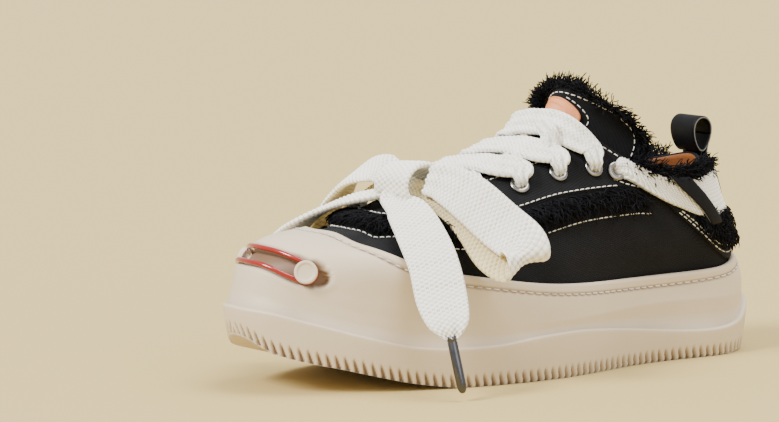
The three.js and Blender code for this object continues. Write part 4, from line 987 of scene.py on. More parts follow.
def rib_grooves(columns, side, over_ground):
    """How deep the band is cut between its ribs, from 0 to 1."""
    phase = np.arange(columns)[:, None] / STEPS_PER_RIB
    lean = side * RIB_SLANT * over_ground / RIB_PITCH
    tooth = np.abs(((phase + lean) % 1.0) - 0.5) * 2
    taper = 0.34 + 0.56 * np.clip(over_ground / RIB_HEIGHT, 0, 1) ** 1.5
    fade = np.clip((RIB_HEIGHT - over_ground) / 0.0018, 0, 1)
    return np.clip((tooth - taper) / 0.34, 0, 1) * fade


def sole_shell():
    girth = even_places(8)[1]
    columns = int(round(girth / RIB_PITCH)) * STEPS_PER_RIB
    places = even_places(columns)[0]
    p = places[:, None]
    ledge = (smooth(LEDGE_CURVE, np.abs(places)) * (TOE_SPRING + TOE_THICKNESS) / LEDGE_CURVE_TOE)[:, None]
    top = rubber_level(places)[:, None]
    low_centre = centre_row(places, underside_height)
    low_edge = level_row(places, BAND_DRAFT, underside_height)
    under = low_centre + (low_edge - low_centre) * np.array([0, 0.35, 0.7, 0.9, 0.985])[None, :, None]

    share = np.linspace(0, 1, BAND_ROWS)[None, :]
    bottom = low_edge[..., 2]
    height = bottom + (ledge - LEDGE_ROUND - bottom) * share
    groove = rib_grooves(columns, np.sign(p + 1e-9), height - bottom)
    inset = BAND_DRAFT * (1 - share) ** 1.3 + RIB_DEPTH * groove
    inset[:, 0] += 0.0004
    band = rising_band(places, inset, height)

    turn = np.linspace(0.25, 1, 4)[None, :] * math.pi / 2
    lip_inset = np.repeat(LEDGE_ROUND * (1 - np.cos(turn)) * 0.8, columns, axis=0)
    lip = rising_band(places, lip_inset, ledge - LEDGE_ROUND + LEDGE_ROUND * np.sin(turn))
    seat = level_row(places, LEDGE_STEP, lambda y: ledge[:, 0] + 0.0002)

    wall_share = np.linspace(0.16, 1, WALL_ROWS)[None, :]
    level = top * wall_share
    plain = wall_point(p, np.maximum(level, 0.3 * top), 0.0)
    wall = seat + (plain - seat) * np.clip(wall_share / 0.3, 0, 1)[..., None]
    below_edge = np.linalg.norm(wall - wall_point(p, top, 0.0), axis=2)
    line = hump(below_edge, THREAD_GROOVE_DROP, THREAD_GROOVE_WIDTH)
    centre, _, upward, _ = wall_frame(p, SLOT_LEVEL)
    rise = np.sum((wall - centre) * upward, axis=2)
    past = np.maximum(np.abs(wall[..., 0]) - 0.5 * BUTTON_SPACING, 0)
    reach = np.hypot(past, rise)
    near_toe = np.abs(p) < 0.4
    slot = eased(np.clip((0.5 * SLOT_HEIGHT - reach) / 0.0009, 0, 1) * near_toe)
    slot_lip = hump(reach, 0.5 * SLOT_HEIGHT + 0.0007, 0.0008) * near_toe
    depth = THREAD_GROOVE_DEPTH * line + SLOT_DEPTH * 0.94 * slot - 0.0003 * slot_lip
    wall = wall - upper_normal(p, level) * depth[..., None]

    crown = np.stack([
        offset_point(places, top[:, 0] + above, SEAM_GAP + wall_part * CUP_WALL_TOP)
        for above, wall_part in ((0.035, 0.8), (0.05, 0.5), (0.03, 0.15))
    ], axis=1)
    cup = offset_point(p, top * np.linspace(1, 0, 7)[None, :], SEAM_GAP)
    cup[:, -1, 2] = floor_height(cup[:, -1, 1])
    cup_foot = cup[:, -1:, :]
    bed = cup_foot + (centre_row(places, floor_height) - cup_foot) * np.array([0.5, 1.0])[None, :, None]

    rows = np.concatenate([under, band, lip, seat, wall, crown, cup, bed], axis=1)
    count = rows.shape[1]
    # Painted shade for the rubber's look: darker in the rib grooves, on the ledge seat, in the thread groove and in
    # the toe recess.
    recess_shade = np.zeros((columns, count))
    band_start = under.shape[1]
    wall_start = band_start + BAND_ROWS + lip.shape[1] + 1
    recess_shade[:, band_start:band_start + BAND_ROWS] = np.clip(groove * 1.1, 0, 1) * 0.85
    recess_shade[:, wall_start - 1] = 0.18
    recess_shade[:, wall_start:wall_start + WALL_ROWS] = np.clip(0.8 * line + slot, 0, 1)
    piece = new_piece("sole_moulding", rows.reshape(-1, 3), grid_faces(columns, count, True, False), RUBBER)
    mark_points(piece, "recess_shade", recess_shade)
    return recalculated(piece, weld=0.00002)


sole_moulding = sole_shell()
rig.ride(sole_moulding, "root")
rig.slot(sole_moulding, "rubber")
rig.replaces(sole_moulding, "sole")


# Holes and eyelets: nickel rings with a rolled rim and a short barrel, pressed into holes in the
# upper. Four lie along each side of the throat, one below the collar on each side, and one vents the
# inner side of the toe.
EYELET_LEVEL = 4.05
EYELET_PLACES = (0.43, 0.53, 0.62, 0.692)
SIDE_EYELET_PLACE = 0.737
VENT_PLACE = 0.24
VENT_RISE = 0.5
EYELET_RADIUS = 0.005
EYELET_BORE_RADIUS = 0.0022
EYELET_HOLE_RADIUS = 0.0031
EYELET_FLATNESS = 0.62
BARREL_DEPTH = 0.0026
BARREL_WALL = 0.0005


def metal_look(name, colour, roughness):
    """Plated metal, dulled by fine scratches."""
    dull = tuple(0.55 * share for share in colour)
    look, tree, shader, _ = soiled_material(name, colour, dull, roughness, 300.0, 0.6)
    shader.inputs["Metallic"].default_value = 1.0
    grained(tree, shader, node_of(tree, "ShaderNodeTexNoise", Scale=700.0, Detail=4.0), "Fac", 0.12, 0.0002)
    return look


NICKEL = metal_look("eyelet_nickel", (0.30, 0.29, 0.28), 0.22)
GUNMETAL = metal_look("aglet_gunmetal", (0.10, 0.10, 0.11), 0.2)


def fresh_primitive(name, look):
    """Names the primitive that was just added, smooths it and gives it its look."""
    piece = bpy.context.object
    piece.name = name
    piece.data.name = name
    piece.data.materials.append(look)
    piece.data.polygons.foreach_set("use_smooth", [True] * len(piece.data.polygons))
    return piece


def set_on(piece, spot, direction):
    """Turns a piece modelled round the z axis to a direction and moves it there, in its vertices."""
    turn = Vector((0, 0, 1)).rotation_difference(Vector(direction)).to_matrix().to_4x4()
    piece.data.transform(Matrix.Translation(Vector(spot)) @ turn)
    piece.data.update()
    return piece


def joined(first, *others):
    bpy.ops.object.select_all(action="DESELECT")
    for each in (first, *others):
        each.select_set(True)
    bpy.context.view_layer.objects.active = first
    bpy.ops.object.join()
    first.select_set(False)
    return first


def cylinder(name, look, corners, radius, bottom, top, ends="NGON"):
    """A cylinder round the z axis, from one height to another."""
    bpy.ops.mesh.primitive_cylinder_add(
        vertices=corners, radius=radius, depth=top - bottom, end_fill_type=ends,
        location=(0, 0, 0.5 * (bottom + top)))
    bpy.ops.object.transform_apply(location=True)
    return fresh_primitive(name, look)


def applied(piece, kind, **settings):
    """Puts a modifier with these settings on a piece and applies it."""
    step = piece.modifiers.new("step", kind)
    for name, value in settings.items():
        setattr(step, name, value)
    bpy.context.view_layer.objects.active = piece
    bpy.ops.object.modifier_apply(modifier="step")


def eyelet(name):
    """One eyelet round the z axis: a flattened rim, and a thin barrel under it."""
    bpy.ops.mesh.primitive_torus_add(
        major_radius=0.5 * (EYELET_RADIUS + EYELET_BORE_RADIUS),
        minor_radius=0.5 * (EYELET_RADIUS - EYELET_BORE_RADIUS), major_segments=36, minor_segments=12)
    ring = fresh_primitive(name, NICKEL)
    ring.data.transform(Matrix.Diagonal((1, 1, EYELET_FLATNESS, 1)))
    barrel = cylinder("barrel", NICKEL, 24, EYELET_BORE_RADIUS + 0.0006, -BARREL_DEPTH, 0, "NOTHING")
    applied(barrel, "SOLIDIFY", thickness=BARREL_WALL)
    return joined(ring, barrel)


eyelet_spots = [
    (f"{side_name}_{k + 1}", f"eyelet_{side_name}_{k + 1}", side * place, EYELET_LEVEL)
    for side_name, side in (("medial", -1), ("lateral", 1))
    for k, place in enumerate(EYELET_PLACES)
]
eyelet_spots += [
    ("side_medial", "side_eyelet_medial", -SIDE_EYELET_PLACE, EYELET_LEVEL),
    ("side_lateral", "side_eyelet_lateral", SIDE_EYELET_PLACE, EYELET_LEVEL),
    ("vent_medial", "vent_eyelet_medial", -VENT_PLACE, float(rubber_level(VENT_PLACE)) + VENT_RISE),
]
bpy.ops.object.select_all(action="DESELECT")
hole_cutters = []
for short_name, node_name, place, level in eyelet_spots:
    spot = surface_point(place, level, 0.0)
    out = upper_normal(place, level)
    ring = set_on(eyelet("ring_" + short_name), spot + out * 0.0008, out)
    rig.ride(ring, "root")
    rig.slot(ring, "metal")
    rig.replaces(ring, node_name)
    hole_cutter = cylinder("hole_cutter", LINING, 24, EYELET_HOLE_RADIUS, -0.006, 0.006)
    hole_cutters.append(set_on(hole_cutter, spot, out))
cutter = joined(*hole_cutters)
applied(upper_shell_piece, "BOOLEAN", operation="DIFFERENCE", solver="MANIFOLD", object=cutter)
bpy.data.objects.remove(cutter)


# Insole: a tan leather board, a little soiled, lying in the shoe's foot.
insole_grain = soiled_material("insole_leather", (0.26, 0.10, 0.035), (0.10, 0.04, 0.015), 0.65, 26.0, 0.9)[0]
frame["nodes"]["insole"].data.materials.clear()
frame["nodes"]["insole"].data.materials.append(insole_grain)


SHEET_EDGE = 0.4


def slab(name, surface, rows, columns, low, high, looks, relief=0.0):
    """A closed sheet between two offsets from surface(u, v, offset), u and v from 0 to 1, with a
    rounded edge. A second look is for the cut edge. relief raises the outer side, in metres."""
    u, v = np.meshgrid(np.linspace(0, 1, rows), np.linspace(0, 1, columns), indexing="ij")
    rim = np.full((rows, columns), SHEET_EDGE)
    rim[1:-1, 1:-1] = 1
    middle, half = 0.5 * (low + high), 0.5 * (high - low)
    base = surface(u, v, np.full(u.shape, middle))
    lines = (base[:, columns // 2], base[rows // 2])
    walked = np.meshgrid(*(distance_along(line) for line in lines), indexing="ij")
    over = surface(u, v, middle + half * rim + relief * (rim == 1)).reshape(-1, 3)
    under = surface(u, v, middle - half * rim).reshape(-1, 3)
    sheet = grid_faces(rows, columns)
    count = rows * columns
    border = np.concatenate([
        np.arange(columns), np.arange(1, rows) * columns + columns - 1,
        count - 2 - np.arange(columns - 1), (rows - 2 - np.arange(rows - 2)) * columns])
    after = np.roll(border, -1)
    edge = np.stack([border, after, after + count, border + count], 1)
    faces = np.concatenate([sheet, sheet[:, ::-1] + count, edge])
    uv = np.stack(walked, -1).reshape(-1, 2)[faces.ravel() % count]
    piece = new_piece(name, np.concatenate([over, under]), faces, looks, uv)
    if isinstance(looks, list):
        on_edge = np.arange(len(faces)) >= 2 * len(sheet)
        piece.data.polygons.foreach_set("material_index", on_edge.astype(int))
    return recalculated(piece)


def bundle(name, spots, outs, radii, sides, look, closed=False):
    """Round strands in one mesh: spots and outs are strand by station by 3, radii strand by station."""
    strands, stations = spots.shape[:2]
    if closed:
        ahead = unit(np.roll(spots, -1, axis=1) - np.roll(spots, 1, axis=1))
    else:
        ahead = unit(np.gradient(spots, axis=1))
    side = unit(np.cross(ahead, outs))
    top = np.cross(side, ahead)
    turn = (2 * math.pi * np.arange(sides) / sides)[None, None, :, None]
    around = top[:, :, None] * np.cos(turn) + side[:, :, None] * np.sin(turn)
    ring = spots[:, :, None] + radii[:, :, None, None] * around
    one = grid_faces(stations, sides, closed, True)
    start = (np.arange(strands) * stations * sides)[:, None, None]
    faces = list((one[None] + start).reshape(-1, 4))
    if not closed:
        caps = np.stack([np.arange(sides)[::-1], (stations - 1) * sides + np.arange(sides)])
        faces += list((caps[None] + start).reshape(-1, sides))
    return recalculated(new_piece(name, ring.reshape(-1, 3), faces, look))


# Tongue: a thick pad of the same twill that stands up out of the throat and rolls over at its top.
TONGUE_THICKNESS = 0.0036
TONGUE_WIDTH = 0.052
TONGUE_SKEW = 0.12
TONGUE_ROWS = [
    (0, -0.169, 0.8, 0.3, 0, 0.115),
    (0.2, -0.084, 0.92, 0.4, 0, 0.19),
    (0.4, -0.007, 1.0, 0.45, 0.04, 0.29),
    (0.56, 0.051, 1.07, 0.46, 0.18, 0.34),
    (0.7, 0.088, 1.15, 0.45, 0.74, 0.4),
    (0.85, 0.115, 1.255, 0.45, 0.68, 0.3),
    (1, 0.135, 1.36, 0.42, 0.16, 0.2),
]


def tongue_point(along, across):
    """Points of the tongue's upper face: along from 0 at its foot to 1, across from -1 to 1."""
    along, across = np.broadcast_arrays(np.asarray(along, float), np.asarray(across, float))
    y, z, half, back, down = (smooth([(row[0], row[k]) for row in TONGUE_ROWS], along) for k in range(1, 6))
    curve = np.abs(across) ** 1.8
    skew = TONGUE_SKEW * TONGUE_WIDTH * across * eased(np.clip((along - 0.7) / 0.3, 0, 1))
    return np.stack([
        across * half * TONGUE_WIDTH,
        y * SOLE_LENGTH + back * TONGUE_WIDTH * curve + skew,
        z * COLLAR_HEIGHT - down * TONGUE_WIDTH * curve,
    ], -1)


def tongue_normal(along, across):
    before, after = np.maximum(along - 0.02, 0), np.minimum(along + 0.02, 1)
    left, right = np.maximum(across - 0.05, -1), np.minimum(across + 0.05, 1)
    ahead = tongue_point(after, across) - tongue_point(before, across)
    side = tongue_point(along, right) - tongue_point(along, left)
    return unit(np.cross(side, ahead))


def tongue_offset(along, across, offset):
    along, across = np.broadcast_arrays(np.asarray(along, float), np.asarray(across, float))
    return tongue_point(along, across) + tongue_normal(along, across) * np.asarray(offset, float)[..., None]


def tongue_surface(u, v, offset):
    """The pad, which thins towards its upper end."""
    return tongue_offset(u, 2 * v - 1, offset * (1 - 0.45 * np.clip((u - 0.7) / 0.3, 0, 1)))


tongue_pad = slab("tongue_pad", tongue_surface, 110, 50, -TONGUE_THICKNESS, 0.0, TWILL)
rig.ride(tongue_pad, "root")
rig.slot(tongue_pad, "canvas")
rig.replaces(tongue_pad, "tongue")


# Patch: a peach leather disc on the tongue, cut off square at its lower side, with a raised ring.
PATCH_ALONG = 0.83
PATCH_DIAMETER = 0.021
PATCH_THICKNESS = 0.0014
PATCH_GAP = 0.0006
# The raised ring and the groove outside it: radius, width and height, in metres.
PATCH_RINGS = ((0.0062, 0.0006, 0.00045), (0.0092, 0.0004, -0.0003))
tongue_length = float(distance_along(tongue_point([0, 0.5, 1], 0))[-1])
patch_look = soiled_material("patch_leather", (0.66, 0.24, 0.085), (0.48, 0.16, 0.055), 0.55, 120.0, 0.4)[0]


def patch_surface(u, v, offset):
    angle = math.pi * (0.06 + 0.88 * u)
    down = 0.5 * PATCH_DIAMETER * np.cos(angle)
    across = 0.5 * PATCH_DIAMETER * np.sin(angle) * (2 * v - 1)
    middle = np.hypot(down, across)
    ring = sum(height * hump(middle, radius, width) for radius, width, height in PATCH_RINGS)
    raised = offset + ring * (offset > 2 * PATCH_GAP)
    return tongue_offset(PATCH_ALONG - down / tongue_length, across / (0.45 * TONGUE_WIDTH), raised)


tongue_badge = slab(
    "patch_disc", patch_surface, 60, 50, PATCH_GAP, PATCH_GAP + PATCH_THICKNESS, patch_look)
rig.ride(tongue_badge, "root")
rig.slot(tongue_badge, "patch")
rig.replaces(tongue_badge, "tongue_patch")


# Heel patch: a counter of twill laid over the rear of the upper, above the rubber.
HEEL_PATCH_GAP = 0.00078
HEEL_PATCH_THICKNESS = 0.0012
HEEL_PATCH_TOP = 3.1
HEEL_PATCH_START = 0.785
HEEL_PATCH_LOW = [(0.785, 2.75), (0.815, 1.95), (0.845, 1.45), (0.91, 1.41), (1, 1.46)]


def heel_surface(u, v, offset):
    place = HEEL_PATCH_START + 2 * (1 - HEEL_PATCH_START) * u
    low = smooth(HEEL_PATCH_LOW, np.where(place > 1, 2 - place, place))
    return offset_point(place, low + (HEEL_PATCH_TOP - low) * v, offset)


heel_counter = slab(
    "heel_counter", heel_surface, 120, 34, HEEL_PATCH_GAP, HEEL_PATCH_GAP + HEEL_PATCH_THICKNESS, TWILL)
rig.ride(heel_counter, "root")
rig.slot(heel_counter, "canvas")
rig.replaces(heel_counter, "heel_patch")


# Fringes: loose cut threads of black yarn, some navy and some dusty, in rows along the eyestay's lower
# edge, round the collar, over the heel and along the tongue's edge. Each thread bends its own way.
THREAD_STATIONS = 7
THREAD_RADIUS = 0.00028


def yarn_look():
    """Black yarn that fades to navy and dusty grey from thread to thread."""
    look = bpy.data.materials.new("fringe_yarn")
    look.use_nodes = True
    tree = look.node_tree
    shader = tree.nodes["Principled BSDF"]
    shader.inputs["Roughness"].default_value = 0.95
    shader.inputs["Specular IOR Level"].default_value = 0.15
    place = tree.nodes.new("ShaderNodeTexCoord")
    vary = node_of(tree, "ShaderNodeTexNoise", Scale=420.0, Detail=2.0)
    ramp = tree.nodes.new("ShaderNodeValToRGB")
    ramp.color_ramp.elements[0].position = 0.38
    ramp.color_ramp.elements[0].color = (0.003, 0.003, 0.004, 1)
    ramp.color_ramp.elements[1].position = 0.72
    ramp.color_ramp.elements[1].color = (0.009, 0.0095, 0.013, 1)
    tree.links.new(place.outputs["Object"], vary.inputs["Vector"])
    tree.links.new(vary.outputs["Fac"], ramp.inputs["Fac"])
    tree.links.new(ramp.outputs["Color"], shader.inputs["Base Color"])
    return look


YARN = yarn_look()


def fringe(name, base, outs, curl, lift, draw):
    """Threads on base paths (thread by station by 3), each curled to the side and lifted off."""
    count = len(base)
    share = np.linspace(0, 1, THREAD_STATIONS)[None, :, None]
    ahead = unit(base[:, -1:] - base[:, :1])
    side = unit(np.cross(ahead, outs[:, None]))
    turns = draw.uniform(0.3, 1.7, (count, 1, 1))
    phase = draw.uniform(0, 2 * math.pi, (count, 1, 1))
    tuft = np.sin(base[:, 0] @ np.array([1900.0, 1300.0, 2300.0]))[:, None, None]
    swing = curl * (1.2 * tuft + draw.normal(0, 0.8, (count, 1, 1)))
    wave = np.sin(2 * math.pi * turns * share + phase) - np.sin(phase)
    height = lift * draw.uniform(0.1, 1, (count, 1, 1))
    arch = np.sin(math.pi * np.clip(share * draw.uniform(0.5, 1.0, (count, 1, 1)), 0, 1))
    swerve = swing * share * 1.2 + 0.35 * curl * wave
    spots = base + side * swerve + outs[:, None] * height * arch
    radii = np.repeat(THREAD_RADIUS * draw.uniform(0.7, 1.35, (count, 1)), THREAD_STATIONS, axis=1)
    radii[:, -1] *= 0.6
    return bundle(name, spots, np.repeat(outs[:, None], THREAD_STATIONS, axis=1), radii, 3, YARN)


def level_length(place, level):
    """How many metres one level measures up the side there."""
    return np.linalg.norm(upper_point(place, level + 0.1) - upper_point(place, level - 0.1), axis=-1) / 0.2


def hanging_base(places, levels, lengths, drift, height):
    """Paths that follow the upper's side down from their roots."""
    share = np.linspace(0, 1, THREAD_STATIONS)[None, :]
    level = levels[:, None] - (lengths / level_length(places, levels))[:, None] * share
    place = places[:, None] + drift[:, None] * share
    return surface_point(place, np.clip(level, 0.5, 6), height)


draw = np.random.default_rng(41)
count = 2500
places = draw.uniform(-0.735, 0.735, count)
row = draw.integers(0, 3, count)
levels = eyestay_level(places) - 0.03 - 0.13 * row - draw.uniform(0, 0.06, count)
lengths = draw.uniform(0.005, 0.0135, count) * (1.0 - 0.12 * row)
base = hanging_base(places, levels, lengths, draw.normal(0, 0.007, count), 0.0006)
throat_threads = fringe("throat_threads", base, upper_normal(places, levels), 0.0026, 0.0048, draw)
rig.ride(throat_threads, "root")
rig.slot(throat_threads, "yarn")
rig.replaces(throat_threads, "throat_fringe")


def standing_base(starts, ways, lengths, bend):
    """Paths that stand out from their starts and bend over."""
    share = np.linspace(0, 1, THREAD_STATIONS)[None, :, None]
    return starts[:, None] + ways[:, None] * lengths[:, None, None] * share + bend[:, None] * share**2


for side_name, side, longest in (("lateral", 1, 0.0065), ("medial", -1, 0.0105)):
    count = 900
    places = side * draw.uniform(0.795, 0.962, count)
    levels = draw.uniform(4.62, 4.99, count)
    out = upper_normal(places, levels)
    up = unit(upper_point(places, TOP_LEVEL) - upper_point(places, TOP_LEVEL - 0.4))
    along = unit(upper_point(places + 0.01, levels) - upper_point(places - 0.01, levels))
    way = unit(up + out * draw.uniform(0.2, 1.8, (count, 1)) + along * draw.normal(0, 0.5, (count, 1)))
    lengths = draw.uniform(0.003, longest, count)
    bend = out * draw.uniform(0, 0.004, (count, 1)) - up * draw.uniform(0, 0.006, (count, 1))
    base = standing_base(offset_point(places, levels, 0.0005), way, lengths, bend)
    collar_threads = fringe("collar_threads_" + side_name, base, out, 0.0022, 0.0015, draw)
    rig.ride(collar_threads, "root")
    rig.slot(collar_threads, "yarn")
    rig.replaces(collar_threads, "collar_fringe_" + side_name)

count = 1500
places = draw.uniform(0.835, 1.165, count)
low = smooth([(0.835, 2.5), (0.87, 2.0), (1, 1.95)], 1 - np.abs(1 - places))
levels = low + (2.75 - low) * draw.uniform(0, 1, count) ** 1.3
lengths = draw.uniform(0.003, 0.0085, count)
base = hanging_base(places, levels, lengths, draw.normal(0, 0.008, count), 0.0022)
heel_threads = fringe("heel_threads", base, upper_normal(places, levels), 0.0026, 0.005, draw)
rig.ride(heel_threads, "root")
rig.slot(heel_threads, "yarn")
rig.replaces(heel_threads, "heel_fringe")

# The tongue's threads: six tenths of them along its top edge, the rest down its two side edges.
count = 1500
edge_walk = draw.uniform(-1, 1, count)
on_top = np.abs(edge_walk) < 0.6
across = np.where(on_top, edge_walk / 0.6, np.sign(edge_walk))
along = np.where(on_top, 1.0, 1.0 - 0.24 * (np.abs(edge_walk) - 0.6) / 0.4)
along = along - draw.uniform(0, 0.012, count)
across = across * (1 - draw.uniform(0, 0.03, count))
out = tongue_normal(along, across)
sideways = unit(tongue_point(along, 1.0) - tongue_point(along, -1.0))
ahead = unit(tongue_point(1.0, across) - tongue_point(0.96, across))
corner = np.where(on_top, np.abs(across) ** 4, 1.0)[:, None]
way = unit(
    sideways * np.sign(across)[:, None] * corner + ahead * (1 - 0.8 * corner)
    + sideways * draw.normal(0, 0.35, (count, 1)) + out * draw.normal(0, 0.3, (count, 1)))
starts = tongue_offset(along, across, -0.5 * TONGUE_THICKNESS * draw.uniform(0, 1, count))
lengths = draw.uniform(0.003, 0.0095, count)
bend = np.array([0, 0, -1]) * draw.uniform(0, 0.003, (count, 1))
tongue_threads = fringe(
    "tongue_threads", standing_base(starts, way, lengths, bend), out, 0.0020, 0.0015, draw)
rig.ride(tongue_threads, "root")
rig.slot(tongue_threads, "yarn")
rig.replaces(tongue_threads, "tongue_fringe")


# Lace crossings: the tape that zigzags over the tongue. Each strand comes up from under one flap and
# goes down through an eyelet of the other, gathered into pleats there. Two more strands run from the
# front eyelets to the knot.
CROSSING_WIDTH = 0.0155
UNDER_WIDTH = 0.0095
STRAND_FOLD = 0.0013
STRAND_STEP = 0.0008
STRAND_EDGE_COUNT = 34
# For each crossing: lift over the tongue and shift towards the toe, of the upper strand and of the lower.
CROSSING_LIFTS = ((0.0066, 0.0, 0.0026, 0.0), (0.0062, 0.01, 0.0024, 0.0), (0.0046, 0.04, 0.002, 0.03))
FRONT_STRANDS = (("lateral", 1, (0.012, -0.046, 0.0945)), ("medial", -1, (0.003, -0.046, 0.0935)))


def heelward_at(place):
    """The way along the row of eyelets towards the heel."""
    step = 0.01 * np.sign(place)
    return unit(upper_point(place + step, EYELET_LEVEL) - upper_point(place - step, EYELET_LEVEL))


def eyelet_rows(place, table):
    """Rows of a route at one eyelet, from a table of level, offset and width."""
    heelward = heelward_at(place)
    return [(*surface_point(place, level, offset), *heelward, width) for level, offset, width in table]


def cross_rows(from_place, to_place, lift, forward, width):
    start = surface_point(from_place, EYELET_LEVEL, 0.0026)
    stop = surface_point(to_place, EYELET_LEVEL, 0.0026)
    between = 0.5 * (start + stop)
    ridge_along = np.linspace(0, 1, 200)
    ridge = float(np.interp(between[1], tongue_point(ridge_along, 0.0)[:, 1], ridge_along)) - forward
    rise = tongue_offset(ridge, 0.0, lift) - between
    slope = unit(tongue_point(ridge + 0.04, 0.0) - tongue_point(ridge - 0.04, 0.0))
    rows = [(*surface_point(from_place, 4.55, -0.0045), *slope, 0.014)]
    for share in (0.2, 0.35, 0.5, 0.65, 0.8):
        spread = abs(2 * share - 1)
        rows.append((*(start + (stop - start) * share + rise * (1 - spread**3)), *slope, width))
    return rows + eyelet_rows(to_place, (
        (4.5, 0.0040, 0.86 * width), (4.22, 0.0040, 0.6 * width), (4.08, 0.0028, 0.0062),
        (4.05, -0.0005, 0.0042), (4.05, -0.0060, 0.0040)))


def front_rows(place, target, width):
    start = surface_point(place, EYELET_LEVEL, 0.004)
    rows = eyelet_rows(place, (
        (4.05, -0.0060, 0.0040), (4.05, -0.0005, 0.0042), (4.1, 0.0030, 0.0065), (4.3, 0.0048, 0.6 * width)))
    for share in (0.4, 0.65, 0.85, 1.0):
        spot = start + (np.array(target) - start) * share
        spot[2] += 0.0035 * math.sin(math.pi * share)
        rows.append((*spot, 0.35 * np.sign(place), 0.75, 0.55, width if share < 0.8 else 0.75 * width))
    return rows


strands = []
for k, (over_lift, over_forward, under_lift, under_forward) in enumerate(CROSSING_LIFTS):
    near, far = EYELET_PLACES[k], EYELET_PLACES[k + 1]
    strands += [
        (f"crossing_over_{k}", cross_rows(-near, far, over_lift, over_forward, CROSSING_WIDTH)),
        (f"crossing_under_{k}", cross_rows(near, -far, under_lift, under_forward, UNDER_WIDTH)),
    ]
for side_name, side, target in FRONT_STRANDS:
    strands.append(("front_" + side_name, front_rows(side * EYELET_PLACES[0], target, CROSSING_WIDTH)))
lacing = recalculated(joined(*(
    tape(name, rows, LACE_COTTON, STRAND_FOLD, step=STRAND_STEP, edge_count=STRAND_EDGE_COUNT)[0]
    for name, rows in strands)))
lacing.name = "lacing"
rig.ride(lacing, "root")
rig.slot(lacing, "lace")
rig.replaces(lacing, "lace_crossings")


# Heel band: a length of the same tape from one side eyelet round the heel to the other, held flat by
# three black leather keepers with grey cut edges.
BAND_OFFSET = HEEL_PATCH_GAP + HEEL_PATCH_THICKNESS + 1.5 * SEAM_GAP
BAND_WIDTH = 0.022
BAND_PLAITS = 84
BAND_MIDDLE = [(0.737, 4.05), (0.75, 4.05), (0.765, 3.98), (0.8, 3.74), (0.86, 3.42), (0.93, 3.47), (1, 3.45)]
BAND_SPREAD = [(0.737, 0.2), (0.748, 0.4), (0.762, 0.72), (0.785, 0.95), (0.86, 1), (1, 1)]
BAND_HEIGHT = [(0.737, -0.004), (0.743, 0.0008), (0.76, 0.0022), (0.8, BAND_OFFSET), (1, BAND_OFFSET)]
METRES_PER_LEVEL = 0.0124


def band_edges(place):
    along = np.where(place > 1, 2 - place, place)
    half = 0.5 * BAND_WIDTH * smooth(BAND_SPREAD, along) / METRES_PER_LEVEL
    middle = smooth(BAND_MIDDLE, along)
    return middle - half, middle + half


def band_surface(u, v, offset):
    """The band's inner face. Near its two ends it gathers into pleats."""
    place = SIDE_EYELET_PLACE + 2 * (1 - SIDE_EYELET_PLACE) * u
    low, high = band_edges(place)
    along = np.where(place > 1, 2 - place, place)
    pleats = 0.0008 * (1 - smooth(BAND_SPREAD, along)) * np.cos(5 * math.pi * v)
    return offset_point(place, low + (high - low) * v, smooth(BAND_HEIGHT, along) + pleats + offset)


band_rows, band_columns = 4 * BAND_PLAITS + 1, 45
band_plaits = plait_relief(
    np.linspace(-1, 1, band_columns)[None, :],
    np.linspace(0, BAND_PLAITS * LACE_PLAIT_LENGTH, band_rows)[:, None])


heel_tape = slab(
    "heel_tape", band_surface, band_rows, band_columns, 0.0, LACE_THICKNESS, LACE_COTTON,
    LACE_RELIEF * (band_plaits - PLAIT_MIDDLE))
# Painted shade in the hollows between the band's plaits.
mark_points(heel_tape, "hollow_shade", plait_shade(np.tile(band_plaits.ravel(), 2)))
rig.ride(heel_tape, "root")
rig.slot(heel_tape, "lace")
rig.replaces(heel_tape, "lace_heel_band")

STRAP_THICKNESS = 0.0016
KEEPER_WIDTH = 0.0085

STRAP_LEATHER = leather_look(
    "strap_leather", ((0.0022, 0.0026, 0.004), (0.007, 0.0075, 0.010)), 0.55, (150.0, 0.5), 0.14, 1100.0,
    0.0002)
STRAP_EDGE = leather_look(
    "strap_edge", ((0.15, 0.145, 0.14), (0.08, 0.075, 0.07)), 0.8, (150.0, 0.5), 0.14, 1100.0, 0.0002)
STRAP_LOOKS = [STRAP_LEATHER, STRAP_EDGE]


def keeper_surface(place):
    """The face of a keeper at a place: it starts below the band, runs over it and ends above it."""
    low, high = (float(edge) for edge in band_edges(np.array(place)))
    over = BAND_OFFSET + LACE_THICKNESS + 2 * SEAM_GAP
    path = [
        (low - 0.3, BAND_OFFSET), (low - 0.2, BAND_OFFSET + 0.0002), (low - 0.09, over),
        (0.5 * (low + high), over + 0.0009),
        (high + 0.09, over), (high + 0.2, BAND_OFFSET + 0.0002), (high + 0.34, BAND_OFFSET)]
    shares = np.linspace(0, 1, len(path))
    per_place = float(np.linalg.norm(upper_point(place + 0.01, 3.3) - upper_point(place - 0.01, 3.3))) / 0.02
    reach = 0.5 * KEEPER_WIDTH / per_place

    def surface(u, v, offset):
        level, height = (smooth(np.stack([shares, column], 1), u) for column in np.array(path).T)
        return offset_point(place + reach * (2 * v - 1), level, height + offset)

    return surface


for keeper_name, place in (("lateral", 0.86), ("medial", 1.14), ("back", 1.0)):
    loop = slab(
        "keeper_strap_" + keeper_name, keeper_surface(place), 46, 14, 0.0, STRAP_THICKNESS, STRAP_LOOKS)
    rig.ride(loop, "root")
    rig.slot(loop, "strap")
    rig.replaces(loop, "keeper_" + keeper_name)


# Tongue keeper: a small strap of the same leather, sewn flat across the tongue's middle under the laces.
def tongue_keeper_surface(u, v, offset):
    return tongue_offset(0.335 + 0.045 * (2 * v - 1), 0.42 * (2 * u - 1), 0.0006 + offset)


tongue_tab = slab("tongue_tab", tongue_keeper_surface, 30, 16, 0.0, STRAP_THICKNESS, STRAP_LOOKS)
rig.ride(tongue_tab, "root")
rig.slot(tongue_tab, "strap")


# Pull loop: a black leather strap folded to an upright eye on the heel's edge, with its tail sewn down
# the outside.
PULL_WIDTH = 0.020
PULL_HEIGHT = 0.022
rim = upper_point(1.0, TOP_LEVEL)


